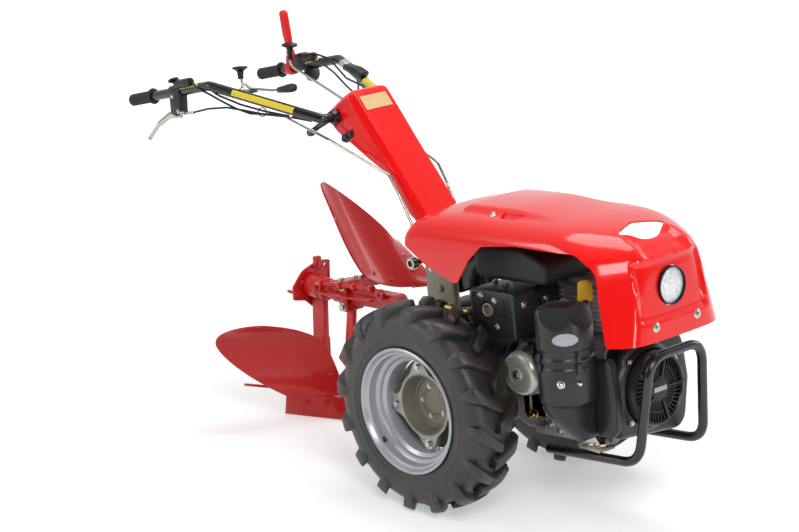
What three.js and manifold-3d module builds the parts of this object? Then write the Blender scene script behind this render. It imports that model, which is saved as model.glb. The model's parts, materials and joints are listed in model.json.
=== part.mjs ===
// Two-wheel walking tractor with a quarter-turn reversible plough on its rear hitch.
// Millimetres, +X forward, +Y to the machine's left, +Z up. The machine rests on its two
// tyres and on the share, so its body is pitched nose-up about the axle.
// Places on the body are measured from the middle of the axle: forward, left, up.
import * as THREE from "three";
import { mergeVertices } from "three/addons/utils/BufferGeometryUtils.js";
import Module from "manifold-3d";

const wasm = await Module();
wasm.setup();

// ---- Driving dimensions -------------------------------------------------------------
const GAP = 0.4; // between pieces that touch
const PITCH = THREE.MathUtils.degToRad(5.5); // nose-up, resting on the share

const TYRE_RADIUS = 280;
const TYRE_WIDTH = 151;
const TYRE_WALL = 12;
const TRACK = 520; // between the middles of the tyres
const RIM_SEAT = 152; // radius of a 12-inch bead seat
const RIM_FLANGE = 167;
const RIM_WIDTH = 146;
const RIM_WALL = 4;
const DISC_OFFSET = -22; // wheel disc, from the tyre's middle towards the machine

const HOOD_WALL = 4;
const HOOD_HALF_WIDTH = 212;
const HOOD_NOSE = 650;
const HOOD_TOP = 490;
const LAMP_HEIGHT = 336;

const COLUMN_HALF_WIDTH = 75;
const COLUMN_WALL = 3;
const PIVOT = [-95, 0, 262]; // height pivot of the column
const PLATE_OUT = 86; // outer faces of the quadrant plates, left and right

const BAR_RADIUS = 14;
const BUMPER_RADIUS = 12.5;

// The plough turns about a level axis; its own places are measured from this hub centre.
const HUB_CENTRE = [-705, 0, 181];
const BODY_ANGLE = THREE.MathUtils.degToRad(85.5); // between the two plough bodies
const BOARD_THICK = 6;

// ---- Paints and metals --------------------------------------------------------------
const finish = (color, roughness, metalness) =>
  new THREE.MeshStandardMaterial({ color, roughness, metalness });
const LOOK = {
  red: () => finish(0xd80f0c, 0.22, 0),
  ploughRed: () => finish(0x9b1418, 0.45, 0),
  black: () => finish(0x17181a, 0.35, 0.1),
  engine: () => finish(0x2b2c31, 0.5, 0),
  rubber: () => finish(0x26262a, 0.85, 0),
  rim: () => finish(0xb9bbc0, 0.35, 0.6),
  disc: () => finish(0x8c8a78, 0.45, 0.4),
  cast: () => finish(0x8d8f90, 0.55, 0.7),
  case: () => finish(0x3a3b3d, 0.6, 0.2),
  zinc: () => finish(0xc6c8bc, 0.3, 0.9),
  steel: () => finish(0xb4b6b8, 0.28, 0.95),
  beige: () => finish(0xa9a596, 0.5, 0.3),
  lens: () => finish(0xe8ecee, 0.08, 0),
  yellow: () => finish(0xe2c21c, 0.4, 0),
  lever: () => finish(0xd9222b, 0.35, 0),
};

// ---- Making solids ------------------------------------------------------------------
const at = ([x, y, z]) => new THREE.Vector3(x, y, z);
const across = ([x, y, z]) => [x, -y, z]; // the same place on the machine's other side

function solid(shape) {
  if (!shape.isBufferGeometry) return shape;
  const loose = shape.index ? shape.toNonIndexed() : shape;
  const bare = new THREE.BufferGeometry();
  bare.setAttribute("position", loose.getAttribute("position"));
  const joined = mergeVertices(bare, 1e-3);
  return new wasm.Manifold(
    new wasm.Mesh({
      numProp: 3,
      vertProperties: joined.getAttribute("position").array,
      triVerts: new Uint32Array(joined.index.array),
    }),
  );
}

function surface(shape) {
  if (shape.isBufferGeometry) return shape;
  const { vertProperties, triVerts } = shape.getMesh();
  const geometry = new THREE.BufferGeometry();
  geometry.setAttribute("position", new THREE.BufferAttribute(vertProperties, 3));
  geometry.setIndex(new THREE.BufferAttribute(triVerts, 1));
  return geometry;
}

const join = (...shapes) => shapes.map(solid).reduce((a, b) => a.add(b));
const cut = (base, ...tools) => tools.map(solid).reduce((a, b) => a.subtract(b), solid(base));
const common = (...shapes) => shapes.map(solid).reduce((a, b) => a.intersect(b));

function box([x0, y0, z0], [x1, y1, z1]) {
  const block = new THREE.BoxGeometry(x1 - x0, y1 - y0, z1 - z0);
  return block.translate((x0 + x1) / 2, (y0 + y1) / 2, (z0 + z1) / 2);
}

// A round bar between two places, tapered if a second radius is given.
function rod(from, to, radius, endRadius = radius, sides = 16) {
  const [a, b] = [at(from), at(to)];
  const bar = new THREE.CylinderGeometry(endRadius, radius, a.distanceTo(b), sides);
  const turn = new THREE.Quaternion().setFromUnitVectors(
    new THREE.Vector3(0, 1, 0),
    b.clone().sub(a).normalize(),
  );
  return bar.applyQuaternion(turn).translate(...a.add(b).multiplyScalar(0.5).toArray());
}

// A large block whose underside lies on a plane through a place, for cutting off what is
// beyond that plane.
function beyond(place, direction, reach = 400) {
  const turn = new THREE.Quaternion().setFromUnitVectors(
    new THREE.Vector3(0, 1, 0),
    at(direction).normalize(),
  );
  const block = new THREE.BoxGeometry(2 * reach, reach, 2 * reach).translate(0, reach / 2, 0);
  return block.applyQuaternion(turn).translate(...place);
}

// A closed outline from corners [u, v, bend radius].
function outline(corners) {
  const shape = new THREE.Shape();
  const count = corners.length;
  corners.forEach(([u, v, bend = 0], i) => {
    const here = new THREE.Vector2(u, v);
    const before = new THREE.Vector2(...corners[(i + count - 1) % count].slice(0, 2));
    const after = new THREE.Vector2(...corners[(i + 1) % count].slice(0, 2));
    const reach = Math.min(bend, 0.45 * before.distanceTo(here), 0.45 * after.distanceTo(here));
    const start = before.sub(here).setLength(reach).add(here);
    const end = after.sub(here).setLength(reach).add(here);
    if (i === 0) shape.moveTo(start.x, start.y);
    else shape.lineTo(start.x, start.y);
    if (bend > 0) shape.quadraticCurveTo(u, v, end.x, end.y);
  });
  shape.closePath();
  return shape;
}

const AXES = {
  // outline (u, v) lies in this plane, and is pushed along the third axis
  xz: new THREE.Matrix4().makeBasis(at([1, 0, 0]), at([0, 0, 1]), at([0, -1, 0])),
  yz: new THREE.Matrix4().makeBasis(at([0, 1, 0]), at([0, 0, 1]), at([1, 0, 0])),
  xy: new THREE.Matrix4(),
};
function prism(plane, corners, low, high, curveSegments = 5) {
  const body = new THREE.ExtrudeGeometry(outline(corners), {
    depth: high - low,
    bevelEnabled: false,
    curveSegments,
  });
  const start = plane === "xz" ? -high : low;
  return body.translate(0, 0, start).applyMatrix4(AXES[plane]);
}

// A profile of [radius, height] turned about an axis through a place.
function turned(profile, place, direction, segments = 32) {
  const closed = profile[0][0] === 0 ? profile : [...profile, profile[0]];
  const points = closed.map(([r, h]) => new THREE.Vector2(r, h));
  const turn = new THREE.Quaternion().setFromUnitVectors(
    new THREE.Vector3(0, 1, 0),
    at(direction).normalize(),
  );
  return new THREE.LatheGeometry(points, segments).applyQuaternion(turn).translate(...place);
}

// A path of straight stretches with its inner corners rounded.
function bentPath(places, bend) {
  const path = new THREE.CurvePath();
  let last = at(places[0]);
  places.slice(1, -1).forEach((place, i) => {
    const corner = at(place);
    const back = at(places[i]).sub(corner).setLength(bend).add(corner);
    const ahead = at(places[i + 2]).sub(corner).setLength(bend).add(corner);
    path.add(new THREE.LineCurve3(last, back));
    path.add(new THREE.QuadraticBezierCurve3(back, corner, ahead));
    last = ahead;
  });
  path.add(new THREE.LineCurve3(last, at(places.at(-1))));
  return path;
}

// A round tube along such a path; its section has twice halfSides sides.
function tube(places, bend, radius, steps, halfSides) {
  const circle = new THREE.Shape().absarc(0, 0, radius, 0, 2 * Math.PI);
  return new THREE.ExtrudeGeometry(circle, {
    steps,
    curveSegments: halfSides,
    extrudePath: bentPath(places, bend),
  });
}

// A plate of even thickness bent to the surface pointAt(u, v), u and v from 0 to 1.
function bentPlate(pointAt, thickness, columns, rows) {
  const positions = [];
  const index = [];
  const step = 1e-3;
  const normalAt = (u, v) => {
    const alongU = pointAt(u + step, v).sub(pointAt(u - step, v));
    const alongV = pointAt(u, v + step).sub(pointAt(u, v - step));
    return alongU.cross(alongV).normalize();
  };
  for (const side of [0, 1])
    for (let row = 0; row <= rows; row++)
      for (let column = 0; column <= columns; column++) {
        const [u, v] = [column / columns, row / rows];
        const place = pointAt(u, v).addScaledVector(normalAt(u, v), -side * thickness);
        positions.push(...place.toArray());
      }
  const layer = (columns + 1) * (rows + 1);
  const id = (side, column, row) => side * layer + row * (columns + 1) + column;
  const quad = (a, b, c, d) => index.push(a, b, c, a, c, d);
  for (let row = 0; row < rows; row++)
    for (let column = 0; column < columns; column++) {
      const ring = [
        [column, row],
        [column + 1, row],
        [column + 1, row + 1],
        [column, row + 1],
      ];
      quad(...ring.map(([c, r]) => id(0, c, r)));
      quad(...ring.reverse().map(([c, r]) => id(1, c, r)));
    }
  for (let column = 0; column < columns; column++) {
    quad(id(1, column, 0), id(1, column + 1, 0), id(0, column + 1, 0), id(0, column, 0));
    quad(
      id(0, column, rows),
      id(0, column + 1, rows),
      id(1, column + 1, rows),
      id(1, column, rows),
    );
  }
  for (let row = 0; row < rows; row++) {
    quad(id(0, 0, row), id(0, 0, row + 1), id(1, 0, row + 1), id(1, 0, row));
    quad(
      id(1, columns, row),
      id(1, columns, row + 1),
      id(0, columns, row + 1),
      id(0, columns, row),
    );
  }
  const plate = new THREE.BufferGeometry();
  plate.setAttribute("position", new THREE.Float32BufferAttribute(positions, 3));
  plate.setIndex(index);
  return plate;
}

const machine = new THREE.Group();
const body = new THREE.Group(); // everything that pitches with the machine
body.rotation.y = -PITCH;
machine.add(body);

const toLevel = (place) => at(place).applyAxisAngle(new THREE.Vector3(0, 1, 0), -PITCH);
const plough = new THREE.Group(); // level, about the hub centre
plough.position.copy(toLevel(HUB_CENTRE));
machine.add(plough);

function add(name, shape, look, parent = body) {
  const mesh = new THREE.Mesh(surface(shape), LOOK[look]());
  mesh.name = name;
  parent.add(mesh);
}

// ---- Wheels: tyre, rim, disc and the half shaft that carries them --------------------
function wheel(side) {
  const sign = side === "left" ? 1 : -1;
  const out = [0, sign, 0];
  const middle = [0, (sign * TRACK) / 2, 0];
  const half = TYRE_WIDTH / 2;
  const seat = RIM_SEAT + GAP;
  const tyre = [
    [seat, -half + 9],
    [RIM_FLANGE + 4, -half + 5],
    [205, -half],
    [262, -half + 8],
    [TYRE_RADIUS, -half + 34],
    [TYRE_RADIUS, half - 34],
    [262, half - 8],
    [205, half],
    [RIM_FLANGE + 4, half - 5],
    [seat, half - 9],
    [seat, half - 24],
    [205, half - TYRE_WALL],
    [TYRE_RADIUS - 28, half - 20],
    [TYRE_RADIUS - 16, half - 42],
    [TYRE_RADIUS - 16, -half + 42],
    [TYRE_RADIUS - 28, -half + 20],
    [205, -half + TYRE_WALL],
    [seat, -half + 24],
  ];
  add(`tyre_${side}`, turned(tyre, middle, out, 40), "rubber", machine);

  const edge = RIM_WIDTH / 2;
  const well = 126;
  const barrel = [
    [RIM_FLANGE, -edge - 1],
    [RIM_FLANGE, -edge + 3],
    [RIM_SEAT, -edge + 6],
    [RIM_SEAT - 3, -34],
    [well, -24],
    [well, 24],
    [RIM_SEAT - 3, 34],
    [RIM_SEAT, edge - 6],
    [RIM_FLANGE, edge - 3],
    [RIM_FLANGE, edge + 1],
    [RIM_SEAT - RIM_WALL, edge],
    [RIM_SEAT - RIM_WALL - 3, 38],
    [well - RIM_WALL, 28],
    [well - RIM_WALL, -28],
    [RIM_SEAT - RIM_WALL - 3, -38],
    [RIM_SEAT - RIM_WALL, -edge],
  ];
  add(`rim_${side}`, turned(barrel, middle, out, 36), "rim", machine);

  const inside = well - RIM_WALL - 1;
  const dish = [
    [0, DISC_OFFSET + 4],
    [64, DISC_OFFSET + 4],
    [64, DISC_OFFSET + 30],
    [80, DISC_OFFSET + 29],
    [88, DISC_OFFSET - 4],
    [inside, DISC_OFFSET - 4],
    [inside, DISC_OFFSET + 2],
    [100, DISC_OFFSET + 2],
    [90, DISC_OFFSET + 34],
    [52, DISC_OFFSET + 38],
    [50, DISC_OFFSET + 46],
    [0, DISC_OFFSET + 46],
  ];
  add(`wheel_disc_${side}`, turned(dish, middle, out, 28), "disc", machine);

  const inner = TRACK / 2 + DISC_OFFSET + 4 - GAP;
  const place = (y) => [0, sign * y, 0];
  const shaft = join(
    rod(place(inner - 10), place(inner), 62, 62, 24),
    rod(place(HOUSING_END + 5), place(inner - 5), 21, 21, 20),
  );
  add(`half_shaft_${side}`, shaft, "cast", machine);
}

// ---- Transmission -------------------------------------------------------------------
const CASE_HALF = 78;
const HOUSING_END = 158; // outer end of the axle housings
function transmission() {
  const side = [
    [-150, -62, 20],
    [-95, -98, 20],
    [70, -98, 20],
    [112, -66, 20],
    [112, 120, 20],
    [40, 176, 25],
    [-120, 176, 25],
    [-150, 140, 20],
  ];
  add("gearbox", prism("xz", side, -CASE_HALF, CASE_HALF), "case");
  for (const [name, sign] of [
    ["right", -1],
    ["left", 1],
  ]) {
    const housing = [
      [0, CASE_HALF + GAP],
      [62, CASE_HALF + GAP],
      [62, CASE_HALF + 12],
      [46, CASE_HALF + 20],
      [38, HOUSING_END - 6],
      [38, HOUSING_END],
      [0, HOUSING_END],
    ];
    add(`axle_housing_${name}`, turned(housing, [0, 0, 0], [0, sign, 0], 28), "case", machine);
  }
  const bell = [
    [0, 112 + GAP],
    [88, 112 + GAP],
    [88, 124],
    [76, 130],
    [98, 190],
    [98, 204],
    [0, 204],
  ];
  add("clutch_housing", turned(bell, [0, 0, ENGINE_HEIGHT], [1, 0, 0], 32), "case");
}

// ---- Engine -------------------------------------------------------------------------
const ENGINE_HEIGHT = 62; // crankshaft, above the axle
const ENGINE_REAR = 204 + GAP;
const FAN_FACE = 596;
const CASE_WALL = 14; // of the crankcase
function engine() {
  const crankcase = [
    [-108, -52, 22],
    [118, -52, 22],
    [128, 40, 20],
    [112, 178, 24],
    [-20, 178, 24],
    [-108, 178, 24],
  ];
  const hollow = box(
    [ENGINE_REAR + CASE_WALL, -108 + CASE_WALL, -52 + CASE_WALL],
    [520, 112 - CASE_WALL, 178 - CASE_WALL],
  );
  add("crankcase", cut(prism("yz", crankcase, ENGINE_REAR, 500), hollow), "cast");

  const block = prism(
    "yz",
    [
      [4, 178 + GAP],
      [100, 178 + GAP],
      [100, 300, 16],
      [4, 300, 16],
    ],
    262,
    432,
  );
  add("cylinder_head", block, "cast");

  const fanMiddle = [FAN_Y, ENGINE_HEIGHT + 8];
  const shell = [
    [-150, -40, 40],
    [116, -70, 50],
    [140, 60, 50],
    [122, 190, 55],
    [-90, 196, 55],
    [-128, 110, 55],
  ];
  add("blower_housing", prism("yz", shell, 500 + GAP, 566), "engine");
  const grille = [
    [0, 566 + GAP],
    [94, 566 + GAP],
    [94, FAN_FACE - 8],
    [84, FAN_FACE],
    [0, FAN_FACE],
  ];
  add("recoil_cover", turned(grille, [0, ...fanMiddle], [1, 0, 0], 32), "black");
}
const FAN_Y = -18;

function engineFittings() {
  const [canX, canY] = [452, -196];
  const canister = [
    [0, 66],
    [72, 66],
    [72, 294],
    [63, 306],
    [0, 310],
  ];
  add("air_cleaner", turned(canister, [canX, canY, 0], [0, 0, 1], 32), "engine");
  const elbow = [
    [canX - 62, canY - 60, 45],
    [canX + 47, canY - 60, 45],
    [canX + 47, canY + 66, 15],
    [canX - 62, canY + 66, 15],
  ];
  add("air_cleaner_base", prism("xy", elbow, -34, 66 - GAP), "engine");

  const muffler = prism(
    "xz",
    [
      [111, 184, 12],
      [265, 184, 12],
      [265, 308, 12],
      [111, 308, 12],
    ],
    -178,
    -8,
  );
  add("muffler", join(muffler, rod([236, -60, 178 + GAP], [236, -60, 190], 17)), "engine");

  const drum = [
    [0, 109],
    [58, 109],
    [58, 156],
    [50, 172],
    [0, 176],
  ];
  add("starter_cover", turned(drum, [255, 0, 94], [0, -1, 0], 24), "zinc");

  const tank = [
    [80, 322, 20],
    [335, 322, 20],
    [335, 388, 24],
    [300, 398, 24],
    [80, 398, 24],
  ];
  const cap = rod([150, 60, 390], [150, 60, 428], 34, 32, 20);
  add("fuel_tank", join(prism("xz", tank, -128, 140), cap), "black");
  const dipstick = join(
    rod([446, -108, 178 + GAP], [446, -108, 305], 8, 8, 12),
    box([426, -114, 296], [466, -102, 350]),
  );
  add("oil_filler_cap", dipstick, "yellow");
}

// ---- Engine cradle and bumper -------------------------------------------------------
const RAIL_Y = 123;
const HOOP_Y = 98; // half width of the hoop's top
const RAIL_HEIGHT = -96;
function cradle() {
  const floor = [
    [ENGINE_REAR + 20, -100, 8],
    [500, -100, 8],
    [500, 100, 8],
    [ENGINE_REAR + 20, 100, 8],
  ];
  const top = -52 - GAP;
  const plate = prism("xy", floor, top - 12, top);
  const lip = (sign) => box([250, sign * 108 - 8, -72], [490, sign * 108 + 8, top]);
  add("engine_cradle", join(plate, lip(-1), lip(1)), "beige");

  const inner = 606;
  const near = [
    [300, -RAIL_Y, RAIL_HEIGHT - 9],
    [inner, -RAIL_Y, RAIL_HEIGHT],
    [inner + 34, -HOOP_Y, 172],
    [inner + 34, HOOP_Y, 172],
    [inner, RAIL_Y, RAIL_HEIGHT],
    [300, RAIL_Y, RAIL_HEIGHT - 9],
  ];
  add("bumper", tube(near, 44, BUMPER_RADIUS, 44, 5), "black");
}

// ---- Hood: one moulding, open below and behind, with wheel-side arches ---------------
const SHOULDER = 392; // height at which the chamfer of the shoulders meets the side
function hood() {
  const side = [
    [-92, 404, 14],
    [-8, 358, 10],
    [100, 321, 16],
    [143, 388, 16],
    [186, 428, 22],
    [300, 440, 20],
    [500, 438, 30],
    [560, 400, 26],
    [592, 218, 8],
    [HOOD_NOSE, 212, 8],
    [HOOD_NOSE - 6, 395, 60],
    [604, 466, 50],
    [400, HOOD_TOP + 2, 70],
    [150, HOOD_TOP, 60],
    [-50, 474, 24],
  ];
  const inside = [
    [-200, 100],
    [HOOD_NOSE - HOOD_WALL, 100],
    [HOOD_NOSE - 6 - HOOD_WALL, 393, 58],
    [602, 462, 48],
    [400, HOOD_TOP + 2 - HOOD_WALL, 70],
    [150, HOOD_TOP - HOOD_WALL, 60],
    [-50, 474 - HOOD_WALL, 10],
    [-200, 456],
  ];
  const plan = (inset) => {
    const half = HOOD_HALF_WIDTH - inset;
    return [
      [-300, -half],
      [592, -half, 60],
      [HOOD_NOSE - inset, -140, 50],
      [HOOD_NOSE - inset, 140, 50],
      [592, half, 60],
      [-300, half],
    ];
  };
  const front = (inset) => {
    const half = HOOD_HALF_WIDTH - inset;
    return [
      [-half, 0],
      [half, 0],
      [half, 420, 20],
      [half - 26, HOOD_TOP - 2 - inset, 40],
      [0, HOOD_TOP + 14 - inset, 60],
      [-half + 26, HOOD_TOP - 2 - inset, 40],
      [-half, 420, 20],
    ];
  };
  // The shoulders fall away towards the nose, and its corners lean back.
  const shoulders = (inset) =>
    [-1, 1].flatMap((sign) => [
      beyond([545 - inset, sign * (HOOD_HALF_WIDTH - inset), SHOULDER - inset], [0.42, sign * 0.5, 0.76]),
      beyond([603 - inset, sign * (200 - inset), 213], [0.7, sign * 0.69, 0.195]),
    ]);
  const mass = (sideCorners, inset) =>
    cut(
      common(
        prism("xz", sideCorners, -300, 300),
        prism("xy", plan(inset), 0, 600),
        prism("yz", front(inset), -300, 800),
      ),
      ...shoulders(inset),
    );
  const handHole = prism(
    "xy",
    [
      [514, 0, 30],
      [548, -96, 12],
      [590, 0, 60],
      [548, 96, 12],
    ],
    400,
    560,
  );
  const lampRadius = 49;
  const holeRadius = lampRadius + GAP;
  const lampHole = rod([600, 0, LAMP_HEIGHT], [700, 0, LAMP_HEIGHT], holeRadius, holeRadius, 28);
  add("hood", cut(mass(side, 0), mass(inside, HOOD_WALL), handHole, lampHole), "red");

  const bezel = [
    [42, 0],
    [lampRadius, 0],
    [lampRadius, 14],
    [40, 14],
  ];
  const lampAt = [HOOD_NOSE - 22, 0, LAMP_HEIGHT];
  add("headlamp_bezel", turned(bezel, lampAt, [1, 0, 0], 28), "black");
  const lens = [
    [0, 0],
    [39, 0],
    [39, 8],
    [20, 15],
    [0, 17],
  ];
  add("headlamp_lens", turned(lens, lampAt, [1, 0, 0], 28), "lens");
}

// ---- Handlebar column: turret, quadrant plates, post and its moulded cover -----------
function pivotRod(reach, radius, sides = 16) {
  const [x, , z] = PIVOT;
  return rod([x, -reach, z], [x, reach, z], radius, radius, sides);
}

function column() {
  const top = 176 + GAP; // of the gearbox
  const cheek = (sign) => box([-128, sign * 54 - 4, top], [-62, sign * 54 + 4, 292]);
  const turret = join(
    box([-150, -62, top], [-40, 62, 206]),
    box([-148, -PLATE_OUT, 192], [-48, PLATE_OUT, 206]),
    cheek(-1),
    cheek(1),
  );
  const plateSide = [
    [-148, 196, 8],
    [-48, 196, 8],
    [-48, 318, 12],
    [-148, 334, 12],
  ];
  const plates = [-1, 1].map((sign) => {
    const [inner, outer] = [sign * (PLATE_OUT - 7), sign * PLATE_OUT].sort((a, b) => a - b);
    return prism("xz", plateSide, inner, outer);
  });
  add("column_turret", join(turret, ...plates, pivotRod(PLATE_OUT + 9, 10)), "beige");

  const spine = [
    [-122, 240, 12],
    [-66, 240, 12],
    [-70, 330, 20],
    [-400, 712, 10],
    [-438, 676, 10],
    [-184, 372, 10],
    [-184, 300, 8],
    [-122, 296, 10],
  ];
  const channel = [
    [-98, 345],
    [-392, 686],
    [-480, 640],
    [-215, 322],
  ];
  const post = cut(prism("xz", spine, -32, 32), prism("xz", channel, -27, 27));
  const latch = join(
    rod([-178, -106, 325], [-178, -30, 325], 8),
    rod([-178, -108, 325], [-178, -96, 325], 15),
  );
  add("column_post", join(cut(post, pivotRod(80, 10 + GAP)), latch), "black");
}

function columnCover() {
  const side = [
    [-172, 420, 6],
    [-142, 436, 6],
    [-392, 750, 26],
    [-430, 764, 12],
    [-502, 708, 12],
    [-496, 678, 12],
    [-424, 628, 30],
    [-262, 540, 30],
    [-214, 450, 10],
  ];
  const inside = [
    [-600, 380],
    [-128, 380],
    [-156, 448],
    [-394, 745, 24],
    [-429, 759, 10],
    [-497, 706, 10],
    [-493, 682],
    [-600, 646],
  ];
  const front = (inset) => [
    [-COLUMN_HALF_WIDTH + inset, 300],
    [COLUMN_HALF_WIDTH - inset, 300],
    [COLUMN_HALF_WIDTH - inset, 600, 40],
    [COLUMN_HALF_WIDTH - 4 - inset, 800],
    [-COLUMN_HALF_WIDTH + 4 + inset, 800],
    [-COLUMN_HALF_WIDTH + inset, 600, 40],
  ];
  const outer = common(prism("xz", side, -150, 150), prism("yz", front(0), -700, 100));
  const hollow = common(
    prism("xz", inside, -150, 150),
    prism("yz", front(COLUMN_WALL), -700, 100),
  );
  const [x, , z] = ROOT;
  const barHole = rod([x, -150, z], [x, 150, z], 20, 20, 20);
  add("column_cover", cut(outer, hollow, barHole), "red");
}

// ---- Handlebars and what they carry ---------------------------------------------------
const ROOT = [-462, 0, 700];
const SIDES = [
  ["right", -1],
  ["left", 1],
];
const BAR_BEND = [-795, 243, 793];
const BAR_END = [-1052, 241, 750];
const GRIP_END = [-1156, 241, 732];
const PERCH = { right: [-962, -922, 706, 766], left: [-980, -938, 752, 796] }; // rear, front, low, high

function handlebars() {
  const [x, , z] = ROOT;
  add("bar_clamp", rod([x, -98, z], [x, 98, z], 18, 18, 16), "black");
  for (const [name, sign] of SIDES) {
    const place = ([px, py, pz]) => [px, sign * py, pz];
    const bar = [[x, 98 + GAP, z], [x, 126, z], BAR_BEND, BAR_END];
    add(`handlebar_${name}`, tube(bar.map(place), 22, BAR_RADIUS, 20, 5), "black");
    const start = [BAR_END[0] - 1, BAR_END[1], BAR_END[2]];
    add(`grip_${name}`, rod(place(start), place(GRIP_END), 17, 17, 16), "black");
    const [rear, front, low, high] = PERCH[name];
    const perchSide = [
      [rear, low, 8],
      [front, low, 8],
      [front, high, 6],
      [rear, high, 6],
    ];
    const perch = prism("xz", perchSide, sign * 243 - 16, sign * 243 + 16);
    const clear = rod(place(BAR_BEND), place(BAR_END), BAR_RADIUS + GAP + 0.6);
    add(`lever_perch_${name}`, cut(perch, clear), "black");
  }
  const brake = [
    [-941, -243, 700],
    [-975, -250, 700],
    [-1020, -258, 672],
    [-1064, -262, 632],
  ];
  add("brake_lever", tube(brake, 12, 5, 10, 4), "zinc");
  const safety = [
    [-1012, 806, 4],
    [-1000, 806, 4],
    [-1012, 925, 8],
    [-1036, 925, 8],
  ];
  const collar = cut(
    join(
      prism("xz", safety, 233, 249),
      rod([-1030, 241, 754], [-985, 241, 762], 24, 24, 18),
      box([-1016, 233, 772], [-1000, 249, 812]),
    ),
    rod([-1052, 241, 750], [-960, 241, 765.4], BAR_RADIUS + GAP + 0.6),
  );
  add("safety_lever", collar, "lever");

  const barRoom = rod(across(BAR_BEND), [ROOT[0], -126, ROOT[2]], BAR_RADIUS + GAP + 0.6);
  const bracket = cut(box([-764, -226, 764], [-706, -140, 769]), barRoom);
  const knob = join(
    bracket,
    rod([-724, -190, 766], [-730, -182, 822], 4, 4, 8),
    rod([-730, -182, 822], [-731, -180, 836], 9, 20, 14),
  );
  add("gear_knob", knob, "black");
  const selector = join(
    rod([-752, -152, 774], [-606, -150, 776], 4, 4, 8),
    rod([-606, -150, 776], [-540, -150, 786], 8, 11, 14),
  );
  add("selector_lever", selector, "black");
}

function controlRods() {
  const lower = [
    [-462, 112, 641],
    [-256, 92, 557],
    [-224, 90, 505],
    [-176, 88, 410],
  ];
  const right = [[-584, 150, 701], ...lower].map(across);
  const left = [[-985, 208, 772], [-923, 200, 757], [-700, 150, 701], ...lower];
  add("control_rod_right", tube(right, 14, 4, 14, 4), "steel");
  add("control_rod_left", tube(left, 14, 4, 20, 4), "steel");
}

// ---- Hitch and reversible plough --------------------------------------------------------
const HUB = { front: 35, rear: -18, radius: 34, shaft: 16 };
const CLEARANCE = 5;
const PLATE_FRONT = HUB.rear - CLEARANCE; // front face of the sector plate

function hitch() {
  const socket = [
    [-150 - GAP, -20, 6],
    [-150 - GAP, 110, 6],
    [-176, 110, 6],
    [-222, 92, 6],
    [-222, 10, 6],
    [-176, -20, 6],
  ];
  add("rear_hitch", prism("xz", socket, -48, 48), "case");
  const drawbar = [
    [-222 - GAP, 26, 4],
    [-300, 26, 20],
    [-378, 150, 20],
    [-614, 150, 4],
    [-614, 195, 4],
    [-348, 195, 24],
    [-272, 76, 24],
    [-222 - GAP, 76, 4],
  ];
  add("plough_beam", prism("xz", drawbar, -20, 20), "ploughRed");

  // The headstock ends square against the sloping beam.
  const beamEnd = toLevel([-614 - GAP - HUB_CENTRE[0], 0, 172 - HUB_CENTRE[2]]).toArray();
  const tube = cut(
    rod([HUB.front + CLEARANCE, 0, 0], [110, 0, 0], 37, 37, 24),
    beyond(beamEnd, toLevel([1, 0, 0]).toArray()),
  );
  const plateRear = PLATE_FRONT - 8;
  const shaft = join(
    rod([HUB.front + CLEARANCE + 10, 0, 0], [plateRear - 16, 0, 0], HUB.shaft, HUB.shaft, 20),
    rod([plateRear - GAP, 0, 0], [plateRear - 13, 0, 0], 24, 24, 6),
  );
  add("headstock", join(tube, shaft), "ploughRed", plough);
  const sector = [
    [8, -70, 8],
    [62, -48, 12],
    [76, -8, 6],
    [76, 57, 5],
    [36, 63, 14],
    [-26, 44, 50],
    [-63, 2, 10],
    [-61, -37, 5],
    [-19, -46, 6],
  ];
  const hole = (y, z, r) => rod([plateRear - 20, y, z], [PLATE_FRONT + 20, y, z], r, r, 20);
  add(
    "sector_plate",
    join(
      cut(
        prism("yz", sector, plateRear, PLATE_FRONT),
        hole(0, 0, HUB.shaft + GAP),
        hole(58, 46, 5.5),
        hole(-32, 13, 5.5),
      ),
      box([PLATE_FRONT - 2, 10, 44], [PLATE_FRONT + 16, 32, 80]),
      rod([plateRear + 4, -52, -18], [plateRear - 30, -52, -18], 5),
    ),
    "ploughRed",
    plough,
  );
  const block = box([-574, -32, 128], [-540, 32, 214]);
  const beamRoom = box([-600, -20 - GAP, 150 - GAP], [-500, 20 + GAP, 195 + GAP]);
  const stem = [
    [-570, 134],
    [-544, 134],
    [-560, 20],
    [-590, -52, 6],
    [-626, -20, 6],
    [-590, 30],
  ];
  add("coulter", join(cut(block, beamRoom), prism("xz", stem, -8, 8)), "ploughRed");
}

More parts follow.
